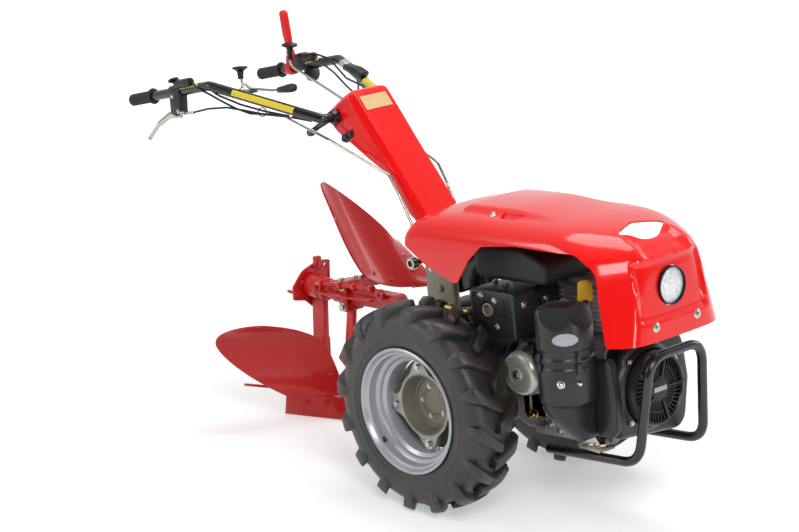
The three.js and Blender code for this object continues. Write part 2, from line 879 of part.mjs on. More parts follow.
// Corners of the mouldboard, from the hub centre.
const BOARD = {
  frontLow: [80, 30, -318],
  rearLow: [-22, -97, -318],
  frontTop: [41, -9, -160],
  rearTop: [-66, -269, -79],
};
const BOARD_FACING = at([0.7, -0.66, 0.28]).normalize();
const FLOOR = -TYRE_RADIUS - toLevel(HUB_CENTRE).z; // below the hub centre
const curve = (...places) => new THREE.CatmullRomCurve3(places.map(at));
const EDGE = {
  bottom: curve(BOARD.frontLow, [28, -36, -319], BOARD.rearLow),
  top: curve(BOARD.frontTop, [4, -119, -104], BOARD.rearTop),
  front: curve(BOARD.frontLow, [56, 24, -245], BOARD.frontTop),
  rear: curve(BOARD.rearLow, [-85, -176, -257], [-142, -252, -166], BOARD.rearTop),
};
function mouldboardAt(u, v) {
  const sum = new THREE.Vector3();
  const corner = (place, weight) => sum.addScaledVector(at(place), weight);
  const [cu, cv] = [THREE.MathUtils.clamp(u, 0, 1), THREE.MathUtils.clamp(v, 0, 1)];
  sum.addScaledVector(EDGE.bottom.getPoint(cu), 1 - cv);
  sum.addScaledVector(EDGE.top.getPoint(cu), cv);
  sum.addScaledVector(EDGE.front.getPoint(cv), 1 - cu);
  sum.addScaledVector(EDGE.rear.getPoint(cv), cu);
  corner(BOARD.frontLow, -(1 - cu) * (1 - cv));
  corner(BOARD.rearLow, -cu * (1 - cv));
  corner(BOARD.frontTop, -(1 - cu) * cv);
  corner(BOARD.rearTop, -cu * cv);
  return sum;
}

// One plough body hangs from the hub; the other is its mirror image, turned round the axis.
function ploughBody(name, parent) {
  add(`mouldboard_${name}`, bentPlate(mouldboardAt, BOARD_THICK, 12, 9), "ploughRed", parent);
  const cutting = [at([115, 26, FLOOR + 3.7]), at([-70, -70, FLOOR + 3.7])];
  const upperEdge = [at([83, 30, -323.5]), at([-19, -96, -324.5])];
  const shareAt = (u, v) => {
    const low = cutting[0].clone().lerp(cutting[1], u);
    const high = upperEdge[0].clone().lerp(upperEdge[1], u);
    return low.lerp(high, v);
  };
  add(`share_${name}`, bentPlate(shareAt, 8, 2, 2), "ploughRed", parent);
  const landside = [
    [-95, FLOOR + 3],
    [45, FLOOR + 3],
    [45, -330],
    [-95, -330],
  ];
  // The leg stands behind the board.
  const ahead = (u, v) => mouldboardAt(u, v).addScaledVector(BOARD_FACING, 45);
  const boardRoom = bentPlate(ahead, 45 + BOARD_THICK + 3, 12, 9);
  const justAhead = (u, v) => mouldboardAt(u, v).addScaledVector(BOARD_FACING, 2);
  const boardSkin = bentPlate(justAhead, BOARD_THICK + 4, 12, 9);
  const leg = join(
    cut(box([-15, -2, -345], [35, 16, -HUB.radius - GAP]), boardRoom, boardSkin),
    prism("xz", landside, 18, 26),
    box([-12, 4, -355], [14, 22, -328]),
  );
  add(`leg_${name}`, leg, "ploughRed", parent);
}

function ploughBodies() {
  const { front, rear, radius, shaft } = HUB;
  const hub = cut(
    rod([rear, 0, 0], [front, 0, 0], radius, radius, 24),
    rod([rear - 10, 0, 0], [front + 10, 0, 0], shaft + GAP, shaft + GAP, 20),
  );
  add("turning_hub", hub, "ploughRed", plough);
  const lower = new THREE.Group();
  const upper = new THREE.Group();
  upper.scale.y = -1;
  upper.rotation.x = BODY_ANGLE;
  plough.add(lower, upper);
  ploughBody("lower", lower);
  ploughBody("upper", upper);
}

wheel("right");
wheel("left");
transmission();
engine();
engineFittings();
cradle();
hood();
column();
columnCover();
handlebars();
controlRods();
hitch();
ploughBodies();

const extent = new THREE.Box3().setFromObject(machine, true);
const middle = extent.getCenter(new THREE.Vector3());
machine.position.set(-middle.x, -middle.y, -extent.min.z);

export default machine;
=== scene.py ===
"""Looks of a two-wheel walking tractor with its quarter-turn plough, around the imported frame.

Pieces are shaped in millimetres and then set down in metres. Places on the machine's body
are measured from the middle of the axle (forward, left, up), and the body leans nose-up;
the plough's places are measured from its hub, and the wheels' from the middle of the axle.
"""
import json
import math
from contextlib import contextmanager

import bmesh
import bpy
from mathutils import Matrix, Vector


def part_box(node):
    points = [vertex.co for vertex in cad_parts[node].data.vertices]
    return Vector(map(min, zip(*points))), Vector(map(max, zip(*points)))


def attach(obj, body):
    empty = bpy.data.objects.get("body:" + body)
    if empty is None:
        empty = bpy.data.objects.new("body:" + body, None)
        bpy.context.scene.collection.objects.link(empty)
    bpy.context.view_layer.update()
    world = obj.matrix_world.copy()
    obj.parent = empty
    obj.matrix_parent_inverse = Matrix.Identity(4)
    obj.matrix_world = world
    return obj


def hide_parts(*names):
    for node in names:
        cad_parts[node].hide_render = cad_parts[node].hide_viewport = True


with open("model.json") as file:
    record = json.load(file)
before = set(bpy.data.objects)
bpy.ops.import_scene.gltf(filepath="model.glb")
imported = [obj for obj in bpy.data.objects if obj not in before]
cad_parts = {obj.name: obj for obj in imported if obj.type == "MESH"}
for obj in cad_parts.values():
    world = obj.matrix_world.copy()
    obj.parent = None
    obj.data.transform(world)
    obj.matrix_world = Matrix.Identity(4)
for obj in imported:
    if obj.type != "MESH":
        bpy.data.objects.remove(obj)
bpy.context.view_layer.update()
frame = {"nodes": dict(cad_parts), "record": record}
NODES = frame["nodes"]
SLOTS = {part["node"]: part["material_slot"] for part in frame["record"]["subparts"]}
BODIES = {
    node: body for body, members in frame["record"]["behaviour"]["bodies"].items() for node in members
}

MM = 0.001
TURN = 2 * math.pi
PITCH = math.radians(5.5)  # the body leans nose-up by this
TRACK = 520  # between the middles of the two tyres
HUB_CENTRE = (-705, 0, 181)  # of the plough's turning hub
BODY_ANGLE = math.radians(85.5)  # between the two plough bodies
FORWARD, LEFT, UP = Vector((1, 0, 0)), Vector((0, 1, 0)), Vector((0, 0, 1))
SIDES = (("right", -1), ("left", 1))

axle = (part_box("tyre_right")[0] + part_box("tyre_left")[1]) / 2
IN_MM = Matrix.Scale(MM, 4)
LEVEL = Matrix.Translation(axle)
LEAN = LEVEL @ Matrix.Rotation(-PITCH, 4, "Y")
ON_BODY = LEAN @ IN_MM
ON_AXLE = LEVEL @ IN_MM
hub = LEAN @ (Vector(HUB_CENTRE) * MM)
ON_HUB = Matrix.Translation(hub) @ IN_MM


# ---- Camera ---------------------------------------------------------------------------
CAMERA_TURNS = (46.70, 16.68, -0.905)  # azimuth, elevation and roll in degrees
CAMERA_PLACE = Vector((4.32231, -4.42068, 2.17458))  # from the middle of the axle
LENS, SENSOR = 110.45, 36


def aim_camera():
    azimuth, elevation, roll = map(math.radians, CAMERA_TURNS)
    right = Vector((math.cos(azimuth), math.sin(azimuth), 0))
    back = Vector((
        math.sin(azimuth) * math.cos(elevation),
        -math.cos(azimuth) * math.cos(elevation),
        math.sin(elevation),
    ))
    up = back.cross(right)
    across = right * math.cos(roll) + up * math.sin(roll)
    upright = back.cross(across)
    place = axle + CAMERA_PLACE
    bpy.ops.object.camera_add(location=place)
    camera = bpy.context.object
    camera.name = "camera"
    turned = Matrix((across, upright, back)).transposed().to_4x4()
    camera.matrix_world = Matrix.Translation(place) @ turned
    camera.data.sensor_width = SENSOR
    camera.data.lens = LENS
    camera.data.clip_end = 100
    bpy.context.scene.camera = camera


aim_camera()


# ---- Finishes -------------------------------------------------------------------------
class Wire:
    """The output of a shader node. Arithmetic on it adds Math nodes."""

    def __init__(self, graph, socket):
        self.graph, self.socket = graph, socket

    def maths(self, operation, *values, clamp=False):
        settings = {"operation": operation, "use_clamp": clamp}
        return self.graph.node("ShaderNodeMath", settings, dict(enumerate(values)))

    def __add__(self, other):
        return self.maths("ADD", self, other)

    def __mul__(self, other):
        return self.maths("MULTIPLY", self, other)

    def __gt__(self, other):
        return self.maths("GREATER_THAN", self, other)

    __radd__, __rmul__ = __add__, __mul__

    def between(self, low, high):
        """0 at low, 1 at high, and straight between them."""
        return self.maths("MULTIPLY_ADD", self, 1 / (high - low), -low / (high - low), clamp=True)


class Graph:
    """The node tree of a material or a world."""

    def __init__(self, owner):
        owner.use_nodes = True
        self.tree = owner.node_tree
        self.tree.nodes.clear()

    def connect(self, node, inputs):
        for socket, value in inputs.items():
            target = node.inputs[socket]
            if isinstance(value, Wire):
                self.tree.links.new(value.socket, target)
            elif isinstance(value, tuple) and len(value) == 3 and target.type == "RGBA":
                target.default_value = (*value, 1)
            else:
                target.default_value = value

    def node(self, kind, settings=None, inputs=None, out=0):
        """Adds a node; settings come first, then values or wires for its sockets."""
        made = self.tree.nodes.new(kind)
        for key, value in (settings or {}).items():
            setattr(made, key, value)
        self.connect(made, inputs or {})
        return Wire(self, made.outputs[out]) if made.outputs else None


class Finish(Graph):
    """One material, built around a Principled shader."""

    def __init__(self, name, **shader):
        self.material = bpy.data.materials.new(name)
        super().__init__(self.material)
        self.shader = self.tree.nodes.new("ShaderNodeBsdfPrincipled")
        self.node("ShaderNodeOutputMaterial", None, {0: Wire(self, self.shader.outputs[0])})
        for socket, value in shader.items():
            self.feed(socket.replace("_", " ").title().replace("Ior", "IOR"), value)
        self.place = self.node("ShaderNodeTexCoord", out="Object")

    def feed(self, socket, value):
        self.connect(self.shader, {socket: value})

    def noise(self, scale, detail=3, roughness=0.55, stretch=None):
        where = self.place
        if stretch:
            where = self.node("ShaderNodeMapping", None, {"Vector": where, "Scale": stretch})
        sockets = {"Vector": where, "Scale": scale, "Detail": detail, "Roughness": roughness}
        return self.node("ShaderNodeTexNoise", None, sockets)

    def blend(self, amount, first, second):
        """A colour that goes from first to second as amount goes from 0 to 1."""
        settings = {"data_type": "RGBA"}
        inputs = {0: amount, 6: first, 7: second}
        return self.node("ShaderNodeMix", settings, inputs, out=2)

    def height(self):
        return self.node("ShaderNodeSeparateXYZ", None, {"Vector": self.place}, out="Z")

    def bump(self, height, depth, strength=1.0):
        inputs = {"Height": height, "Distance": depth, "Strength": strength}
        self.feed("Normal", self.node("ShaderNodeBump", None, inputs))

    def colour(self, value):
        self.feed("Base Color", value)

    def rough(self, value):
        self.feed("Roughness", value)


def shade_of(colour, amount):
    return tuple(min(1.0, channel * amount) for channel in colour)


def paint(name, colour, roughness, coat, peel=0.00004, spread=0.12, dust=0.0, **more):
    """Sprayed paint: faint clouds in the colour, orange peel, and dust low down."""
    finish = Finish(name, coat_weight=coat, coat_roughness=0.06, **more)
    clouds = finish.noise(7, 4)
    tone = finish.blend(clouds, shade_of(colour, 1 - spread), shade_of(colour, 1 + spread))
    specks = finish.noise(420, 2) > 0.71
    tone = finish.blend(specks * 0.25, tone, shade_of(colour, 0.7))
    gloss = finish.noise(24, 3) * 0.12 + (roughness - 0.06)
    if dust:
        low = finish.height().between(0.30, 0.02)
        patches = finish.noise(38, 5).between(0.42, 0.7)
        grime = low * patches * dust
        tone = finish.blend(grime, tone, (0.30, 0.24, 0.18))
        gloss = gloss + grime * 0.4
    finish.rough(gloss)
    finish.colour(tone)
    finish.bump(finish.noise(650, 1), peel)
    return finish.material


def plastic(name, colour, roughness, grain=0.00006, scale=1500, spread=0.15, **more):
    """Moulded plastic with a fine spark-eroded grain."""
    finish = Finish(name, **more)
    tone = finish.blend(finish.noise(11, 4), shade_of(colour, 1 - spread), shade_of(colour, 1 + spread))
    finish.colour(tone)
    finish.rough(finish.noise(60, 3) * 0.16 + (roughness - 0.08))
    finish.bump(finish.noise(scale, 2), grain)
    return finish.material


def casting(name, colour, roughness, metallic, stain=0.35):
    """Sand-cast metal: pebbled skin, darker hollows and stains."""
    finish = Finish(name, metallic=metallic)
    stains = finish.noise(16, 6, 0.65).between(0.45, 0.75)
    tone = finish.blend(finish.noise(140, 4), shade_of(colour, 0.78), shade_of(colour, 1.2))
    finish.colour(finish.blend(stains * stain, tone, shade_of(colour, 0.35)))
    finish.rough(finish.noise(90, 3) * 0.25 + (roughness - 0.12))
    finish.bump(finish.noise(520, 4, 0.6), 0.00022)
    return finish.material


def bright_metal(name, colour, roughness, streak=(1, 1, 1)):
    """Plated or drawn metal with fine streaks and a few dull patches."""
    finish = Finish(name, metallic=1.0)
    patches = finish.noise(22, 5).between(0.5, 0.8)
    streaks = finish.noise(300, 2, stretch=streak)
    finish.colour(finish.blend(patches * 0.5, colour, shade_of(colour, 0.72)))
    finish.rough(streaks * 0.14 + patches * 0.12 + (roughness - 0.08))
    finish.bump(streaks, 0.00002)
    return finish.material


def tyre_rubber():
    """Tread rubber: nearly black, with brownish bloom on the flanks, and lighter bluish marks that are partly
    scuffing and partly a painted sheen.
    """
    finish = Finish("tyre_rubber", specular_ior_level=0.6)
    black, bloom, scuff_and_sheen = (0.013, 0.012, 0.012), (0.034, 0.026, 0.020), (0.075, 0.080, 0.095)
    tone = finish.blend(finish.noise(9, 5, 0.6).between(0.38, 0.68), black, bloom)
    scuff_and_sheen_marks = finish.noise(46, 5, 0.7, stretch=(1, 3, 1)).between(0.58, 0.74)
    low = finish.height().between(0.10, 0.0)
    # Painted sheen: these marks blend towards a bluish grey that stands in for highlights on the rubber, as
    # well as for scuffing.
    tone = finish.blend(scuff_and_sheen_marks * 0.5, tone, scuff_and_sheen)
    finish.colour(finish.blend(low * 0.35, tone, (0.12, 0.10, 0.085)))
    finish.rough(finish.noise(70, 4) * 0.28 + 0.30)
    finish.bump(finish.noise(260, 5, 0.65), 0.0005)
    return finish.material


def ribbed_lens():
    """Headlamp glass, opaque: the bright reflector behind it is a painted reflection of light and grey facets
    in its colour, with painted highlights along the upright flutes that also ripple its face.
    """
    flute = 0.0062
    finish = Finish("lamp_glass", coat_weight=1.0, coat_roughness=0.03)
    place = finish.node("ShaderNodeSeparateXYZ", None, {"Vector": finish.place}, out="Y")
    flutes_and_glints = place.maths("SINE", place * (TURN / flute))
    painted_reflector_facets = finish.node("ShaderNodeTexVoronoi", None, {"Vector": finish.place, "Scale": 95.0})
    # Painted reflection: light and grey reflector facets put into the glass's colour.
    tone = finish.blend(painted_reflector_facets.between(0.1, 0.8), (0.95, 0.96, 0.97), (0.62, 0.65, 0.68))
    # Painted highlights: the colour lightens towards white along the crests of the flutes.
    finish.colour(finish.blend(flutes_and_glints.between(0.2, 1.0) * 0.5, tone, (0.97, 0.98, 0.99)))
    finish.rough(finish.noise(40, 2) * 0.1 + 0.08)
    finish.bump(flutes_and_glints, 0.0006)
    return finish.material


def brushed_label(name, colour):
    """A blank printed foil label."""
    finish = Finish(name, coat_weight=0.4, coat_roughness=0.15)
    finish.colour(finish.blend(finish.noise(60, 3), shade_of(colour, 0.9), shade_of(colour, 1.08)))
    finish.rough(finish.noise(90, 3) * 0.12 + 0.32)
    finish.bump(finish.noise(900, 2), 0.00003)
    return finish.material


RED, DARK_RED = (0.86, 0.006, 0.005), (0.56, 0.010, 0.010)
LOOK = {
    "hood_red": plastic(
        "hood_red", RED, 0.17, grain=0.00001, scale=500, spread=0.04,
        coat_weight=0.45, coat_roughness=0.03, specular_ior_level=0.25,
    ),
    "column_red": plastic(
        "column_red", RED, 0.20, grain=0.00001, scale=500, spread=0.04,
        coat_weight=0.25, coat_roughness=0.04, specular_ior_level=0.2,
    ),
    "plough_red": paint(
        "plough_red", DARK_RED, 0.28, 0.35, peel=0.00006, spread=0.08, dust=0.06, specular_ior_level=0.25,
    ),
    "black_steel": paint(
        "black_steel", (0.006, 0.006, 0.007), 0.26, 0.3, spread=0.3, specular_ior_level=0.4,
    ),
    "black_plastic": plastic("black_plastic", (0.008, 0.008, 0.009), 0.36, specular_ior_level=0.35),
    "engine_black": plastic(
        "engine_black", (0.016, 0.016, 0.019), 0.33, grain=0.00012, scale=900, specular_ior_level=0.4,
    ),
    "grip_rubber": plastic("grip_rubber", (0.020, 0.020, 0.021), 0.72, grain=0.00025, scale=700),
    "tyre": tyre_rubber(),
    "rim_silver": paint("rim_silver", (0.43, 0.44, 0.475), 0.34, 0.25, spread=0.07, metallic=0.35),
    # The wheel's cup and star are one paint: the cup's darker olive grey is painted shade, the star's lighter
    # grey is painted light.
    "disc_grey": paint("disc_grey", (0.20, 0.185, 0.14), 0.42, 0.15, spread=0.12, metallic=0.25),
    "star_lit_grey": paint("star_lit_grey", (0.36, 0.37, 0.34), 0.40, 0.15, spread=0.1, metallic=0.3),
    "cast_aluminium": casting("cast_aluminium", (0.36, 0.37, 0.40), 0.48, 0.35),
    "cast_case": casting("cast_case", (0.045, 0.043, 0.042), 0.50, 0.2, stain=0.5),
    "case_iron": casting("case_iron", (0.060, 0.055, 0.052), 0.55, 0.3, stain=0.5),
    "zinc": bright_metal("zinc", (0.40, 0.41, 0.36), 0.26, streak=(1, 1, 6)),
    "starter_zinc": paint("starter_zinc", (0.56, 0.57, 0.50), 0.30, 0.3, spread=0.08, metallic=0.5),
    "steel": bright_metal("steel", (0.36, 0.36, 0.35), 0.28, streak=(0.2, 4, 4)),
    "bolt_zinc": bright_metal("bolt_zinc", (0.48, 0.47, 0.43), 0.26),
    "brass": bright_metal("brass", (0.78, 0.52, 0.17), 0.22),
    "beige_plate": paint("beige_plate", (0.31, 0.26, 0.20), 0.42, 0.15, spread=0.12),
    "lens": ribbed_lens(),
    "chrome": bright_metal("chrome", (0.86, 0.87, 0.88), 0.08),
    "yellow": plastic("yellow", (0.72, 0.47, 0.02), 0.35),
    "lever_red": plastic("lever_red", (0.78, 0.010, 0.012), 0.30, specular_ior_level=0.3),
    "pipe_brown": casting("pipe_brown", (0.24, 0.19, 0.15), 0.5, 0.6),
    "label_yellow": brushed_label("label_yellow", (0.80, 0.62, 0.03)),
    "label_beige": brushed_label("label_beige", (0.72, 0.50, 0.24)),
    "label_grey": brushed_label("label_grey", (0.36, 0.37, 0.40)),
    "dark_inside": plastic("dark_inside", (0.010, 0.010, 0.011), 0.6),
}


# ---- Workbench ------------------------------------------------------------------------
def alone(piece):
    bpy.ops.object.select_all(action="DESELECT")
    piece.select_set(True)
    bpy.context.view_layer.objects.active = piece
    return piece


def named(name):
    piece = bpy.context.object
    piece.name = piece.data.name = name
    return alone(piece)


@contextmanager
def editing(piece, mode="FACE"):
    alone(piece)
    bpy.ops.object.mode_set(mode="EDIT")
    bpy.ops.mesh.select_mode(type=mode)
    bpy.ops.mesh.select_all(action="DESELECT")
    yield bmesh.from_edit_mesh(piece.data)
    bpy.ops.object.mode_set(mode="OBJECT")


def pick(mesh, test):
    """Selects the faces of an edited mesh whose middle and normal pass the test."""
    for face in mesh.faces:
        face.select_set(bool(test(face.calc_center_median(), face.normal)))
    mesh.select_flush_mode()


def everything(action="SELECT"):
    bpy.ops.mesh.select_all(action=action)


def turned_out():
    """Makes the faces of the edited mesh point outwards."""
    everything()
    bpy.ops.mesh.normals_make_consistent(inside=False)


def welded(piece, distance=0.01):
    with editing(piece, "VERT"):
        everything()
        bpy.ops.mesh.remove_doubles(threshold=distance)
        bpy.ops.mesh.delete_loose(use_faces=False)
        turned_out()
    return piece


def looking(piece, direction):
    """Turns the faces of an open sheet to the side of the direction."""
    with editing(piece):
        turned_out()
    if sum(face.normal.dot(direction) for face in piece.data.polygons) < 0:
        piece.data.flip_normals()
    return piece


def apply(piece, kind, **settings):
    alone(piece)
    modifier = piece.modifiers.new(kind.lower(), kind)
    for key, value in settings.items():
        setattr(modifier, key, value)
    bpy.ops.object.modifier_apply(modifier=modifier.name)
    return piece


def smooth(piece, angle=35):
    alone(piece)
    bpy.ops.object.shade_smooth_by_angle(angle=math.radians(angle))
    return piece


def soften(piece, width, segments=2, angle=32, smooth_angle=35):
    """Rounds the sharp edges."""
    apply(
        piece, "BEVEL", width=width, segments=segments, limit_method="ANGLE",
        angle_limit=math.radians(angle), use_clamp_overlap=True,
    )
    return smooth(piece, smooth_angle)


def corner(before, here, after, radius, steps, share):
    """The rounded way past a corner; it takes up to a share of the straight on each side."""
    back, ahead = before - here, after - here
    reach = min(radius / math.tan(back.angle(ahead) / 2), back.length * share, ahead.length * share)
    start, end = here + back.normalized() * reach, here + ahead.normalized() * reach
    times = [step / steps for step in range(steps + 1)]
    return [start * (1 - t) ** 2 + here * 2 * t * (1 - t) + end * t**2 for t in times]


def rounded(outline, steps=5):
    """Points of an outline whose corners (a, b, radius) are filleted."""
    points = []
    for index, (a, b, *radius) in enumerate(outline):
        here = Vector((a, b))
        if radius:
            before, after = Vector(outline[index - 1][:2]), Vector(outline[(index + 1) % len(outline)][:2])
            points += corner(before, here, after, radius[0], steps, 0.49)
        else:
            points.append(here)
    return points


PLANES = {
    "xy": lambda a, b, c: Vector((a, b, c)),
    "xz": lambda a, b, c: Vector((a, c, b)),
    "yz": lambda a, b, c: Vector((c, a, b)),
}


def slab(name, plane, outline, low, high, steps=5):
    """A flat outline drawn out from low to high."""
    points = rounded(outline, steps)
    bpy.ops.mesh.primitive_circle_add(vertices=len(points), fill_type="NGON")
    piece = named(name)
    for vertex, (a, b) in zip(piece.data.vertices, points):
        vertex.co = PLANES[plane](a, b, low)
    with editing(piece):
        everything()
        rise = PLANES[plane](0, 0, high - low)
        bpy.ops.mesh.extrude_region_move(TRANSFORM_OT_translate={"value": rise})
        turned_out()
    return piece


def block(name, low, high):
    low, high = Vector(low), Vector(high)
    bpy.ops.mesh.primitive_cube_add(size=1, location=(low + high) / 2, scale=high - low)
    piece = named(name)
    bpy.ops.object.transform_apply(location=True, rotation=True, scale=True)
    return piece


def facing(direction):
    """Turns +Z to a direction."""
    return Vector(direction).to_track_quat("Z", "Y").to_matrix().to_4x4()


def rod(name, start, end, radius, end_radius=None, sides=32):
    start, end = Vector(start), Vector(end)
    far = radius if end_radius is None else end_radius
    bpy.ops.mesh.primitive_cone_add(
        vertices=sides, radius1=radius, radius2=far, depth=(end - start).length,
    )
    piece = named(name)
    piece.data.transform(Matrix.Translation((start + end) / 2) @ facing(end - start))
    return piece


def turning(name, profile, centre=(0, 0, 0), direction=(0, 0, 1), steps=48):
    """A closed profile of (radius, height) spun about a line."""
    axis = Vector(direction).normalized()
    out = facing(axis) @ FORWARD
    bpy.ops.mesh.primitive_circle_add(vertices=len(profile), fill_type="NOTHING")
    piece = named(name)
    for vertex, (radius, height) in zip(piece.data.vertices, profile):
        vertex.co = Vector(centre) + out * radius + axis * height
    with editing(piece, "VERT"):
        everything()
        bpy.ops.mesh.spin(steps=steps, angle=TURN, center=centre, axis=axis)
    return welded(piece)


def lathed(name, profile, centre, direction, steps, angle):
    """A turned piece, smooth except at edges sharper than the angle in degrees."""
    return smooth(turning(name, profile, centre, direction, steps), angle)


def bent(places, bend, steps=6):
    """A path through places, with its corners rounded."""
    points = [Vector(places[0])]
    for before, here, after in zip(places, places[1:], places[2:]):
        points += corner(Vector(before), Vector(here), Vector(after), bend, steps, 0.48)
    points.append(Vector(places[-1]))
    return points


def pipe(name, places, radius, bend=20, sides=5, steps=6):
    """A round bar or hose along a path."""
    bpy.ops.curve.primitive_bezier_curve_add()
    piece = bpy.context.object
    piece.name = piece.data.name = name
    path = bent(places, bend, steps)
    piece.data.splines.clear()
    spline = piece.data.splines.new("POLY")
    spline.points.add(len(path) - 1)
    for point, place in zip(spline.points, path):
        point.co = (*place, 1)
    piece.data.dimensions = "3D"
    piece.data.bevel_depth = radius
    piece.data.bevel_resolution = sides
    piece.data.use_fill_caps = True
    alone(piece)
    bpy.ops.object.convert(target="MESH")
    return smooth(welded(named(name)), 50)


def sheet_of(name, point_at, columns, rows):
    """A net of faces whose corners lie at point_at(u, v)."""
    bpy.ops.mesh.primitive_grid_add(x_subdivisions=columns, y_subdivisions=rows, size=2)
    piece = named(name)
    for vertex in piece.data.vertices:
        u, v = (vertex.co.x + 1) / 2, (vertex.co.y + 1) / 2
        vertex.co = point_at(u, v)
    return piece


def joined(name, pieces):
    bpy.ops.object.select_all(action="DESELECT")
    for piece in pieces:
        piece.select_set(True)
    bpy.context.view_layer.objects.active = pieces[0]
    bpy.ops.object.join()
    return named(name)


def copy_of(piece, name, matrix=None):
    double = bpy.data.objects.new(name, piece.data.copy())
    bpy.context.scene.collection.objects.link(double)
    if matrix is not None:
        double.data.transform(matrix)
        if matrix.determinant() < 0:
            double.data.flip_normals()
    return double


def worked(piece, operation, *tools):
    for tool in tools:
        apply(piece, "BOOLEAN", operation=operation, object=tool, solver="EXACT")
        bpy.data.objects.remove(tool)
    return piece


def carved(piece, *tools):
    return worked(piece, "DIFFERENCE", *tools)


def bolt(name, place, direction, size=13, thick=6, washer=True, sides=6):
    """A hexagon head on its washer; size is across the flats."""
    axis = Vector(direction).normalized()
    start = Vector(place)
    head = rod(name, start, start + axis * thick, size / math.sqrt(3), sides=sides)
    with editing(head) as mesh:
        pick(mesh, lambda middle, normal: normal.dot(axis) > 0.9)
        bpy.ops.mesh.inset(thickness=size * 0.08, depth=size * 0.05)
    soften(head, size * 0.05, 2)
    parts = [head]
    if washer:
        ring = rod(name + "_washer", start, start + axis * 1.6, size * 0.82, sides=24)
        parts.append(soften(ring, 0.4, 1))
    return joined(name, parts)


def seated(piece, body, look, slot=None, where=ON_BODY):
    """Sets a finished piece down on the machine: its place, its body and its finish."""
    alone(piece)
    piece.data.transform(where)
    piece.data.materials.clear()
    piece.data.materials.append(LOOK[look])
    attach(piece, body)
    slot or look
    return piece


REPLACED = set()


def replace(piece, *nodes):
    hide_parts(*nodes)
    REPLACED.update(nodes)


def bolts(
    name, places, direction, body, size=13, thick=6, look="bolt_zinc", slot="steel", where=ON_BODY,
):
    """The same bolt in several places, as one piece."""
    first = bolt(name, places[0], direction, size, thick)
    others = [
        copy_of(first, f"{name}_{index}", Matrix.Translation(Vector(place) - Vector(places[0])))
        for index, place in enumerate(places[1:])
    ]
    return seated(joined(name, [first, *others]), body, look, slot, where)


def dressed(node, width=1.2, segments=2):
    """The same shape as a CAD node, with its edges rounded and its facets smoothed."""
    source = NODES[node]
    piece = copy_of(source, node + "_dressed")
    piece.data.transform(Matrix.Scale(1 / MM, 4))
    welded(piece, 0.02)
    with editing(piece):
        everything()
        bpy.ops.mesh.dissolve_limited(angle_limit=math.radians(0.6))
    soften(piece, width, segments)
    seated(piece, BODIES[node], SLOTS[node], None, IN_MM)
    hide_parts(node)


def loft(name, sections):
    """A capped skin through closed sections that all have the same number of points."""
    around = len(sections[0])

    def point_at(u, v):
        return sections[round(u * (len(sections) - 1))][round(v * around) % around]

    piece = sheet_of(name, point_at, len(sections) - 1, around)
    with editing(piece, "EDGE"):
        everything()
        bpy.ops.mesh.remove_doubles(threshold=0.01)
        everything("DESELECT")
        bpy.ops.mesh.select_non_manifold()
        bpy.ops.mesh.fill_holes(sides=0)
        turned_out()
    return piece


def spread(piece, name, count, axis, centre=(0, 0, 0)):
    """Copies of a piece, set round an axis, joined with it."""
    there, back = Matrix.Translation(centre), Matrix.Translation(-Vector(centre))
    copies = [
        copy_of(piece, f"{name}_{index}", there @ Matrix.Rotation(TURN * index / count, 4, axis) @ back)
        for index in range(1, count)
    ]
    return joined(name, [piece, *copies])


# ---- Wheels ---------------------------------------------------------------------------
MIDDLE = (0, -TRACK / 2, 0)  # of the right wheel
OUTWARD = (0, -1, 0)
LUGS = 16
LUG_PITCH = TURN / LUGS
TREAD_RADIUS = 280


def lug(name, side, turn):
    """One bar of the tread, from the middle of the crown down over the shoulder."""
    stations = [
        # across and radius at the root; the same at the top; ahead; half widths
        (-8, 252, -6, 279.0, 50, 18, 12.5),
        (8, 252, 8, 280.0, 43, 19, 14.5),
        (24, 252, 24, 280.0, 32, 20, 15.5),
        (41, 251, 41, 279.0, 19, 21, 17),
        (55, 249, 57, 276.5, 8, 23, 19),
        (63, 243, 68, 270.0, 1, 24, 20),
        (67, 229, 74.5, 251.0, -3, 22, 17),
        (68, 212, 76, 227.0, -5, 16, 9),
    ]

    def spot(across, radius, ahead):
        angle = turn + ahead / TREAD_RADIUS
        return Vector((
            radius * math.sin(angle),
            MIDDLE[1] - side * across,
            radius * math.cos(angle),
        ))

    sections = [
        [
            spot(root_y, root_r, ahead - root_half),
            spot(root_y * 0.35 + top_y * 0.65, root_r * 0.35 + top_r * 0.65, ahead - top_half - 1.5),
            spot(top_y, top_r, ahead - top_half),
            spot(top_y, top_r + 0.4, ahead),
            spot(top_y, top_r, ahead + top_half),
            spot(root_y * 0.35 + top_y * 0.65, root_r * 0.35 + top_r * 0.65, ahead + top_half + 1.5),
            spot(root_y, root_r, ahead + root_half),
        ]
        for root_y, root_r, top_y, top_r, ahead, root_half, top_half in stations
    ]
    return soften(loft(name, sections), 1.6, 2, 38, 40)


def tyre():
    carcass = [
        (153, -62), (166, -67), (170, -71), (176, -72), (179, -73.6), (182, -72.8), (190, -74),
        (194, -75.6), (197, -74.6), (214, -74.5), (232, -71), (246, -65), (254, -55), (257, -38),
        (258, -15), (258, 15), (257, 38), (254, 55), (246, 65), (232, 71), (214, 74.5),
        (197, 74.6), (194, 75.6), (190, 74), (182, 72.8), (179, 73.6), (176, 72), (170, 71),
        (166, 67), (153, 62), (153, 0),
    ]
    body = lathed("tyre_carcass", carcass, MIDDLE, OUTWARD, 96, 50)
    outer = spread(lug("lug_outer", 1, 0), "lugs_outer", LUGS, "Y", MIDDLE)
    inner = spread(lug("lug_inner", -1, LUG_PITCH / 2), "lugs_inner", LUGS, "Y", MIDDLE)
    return joined("treads", [body, outer, inner])


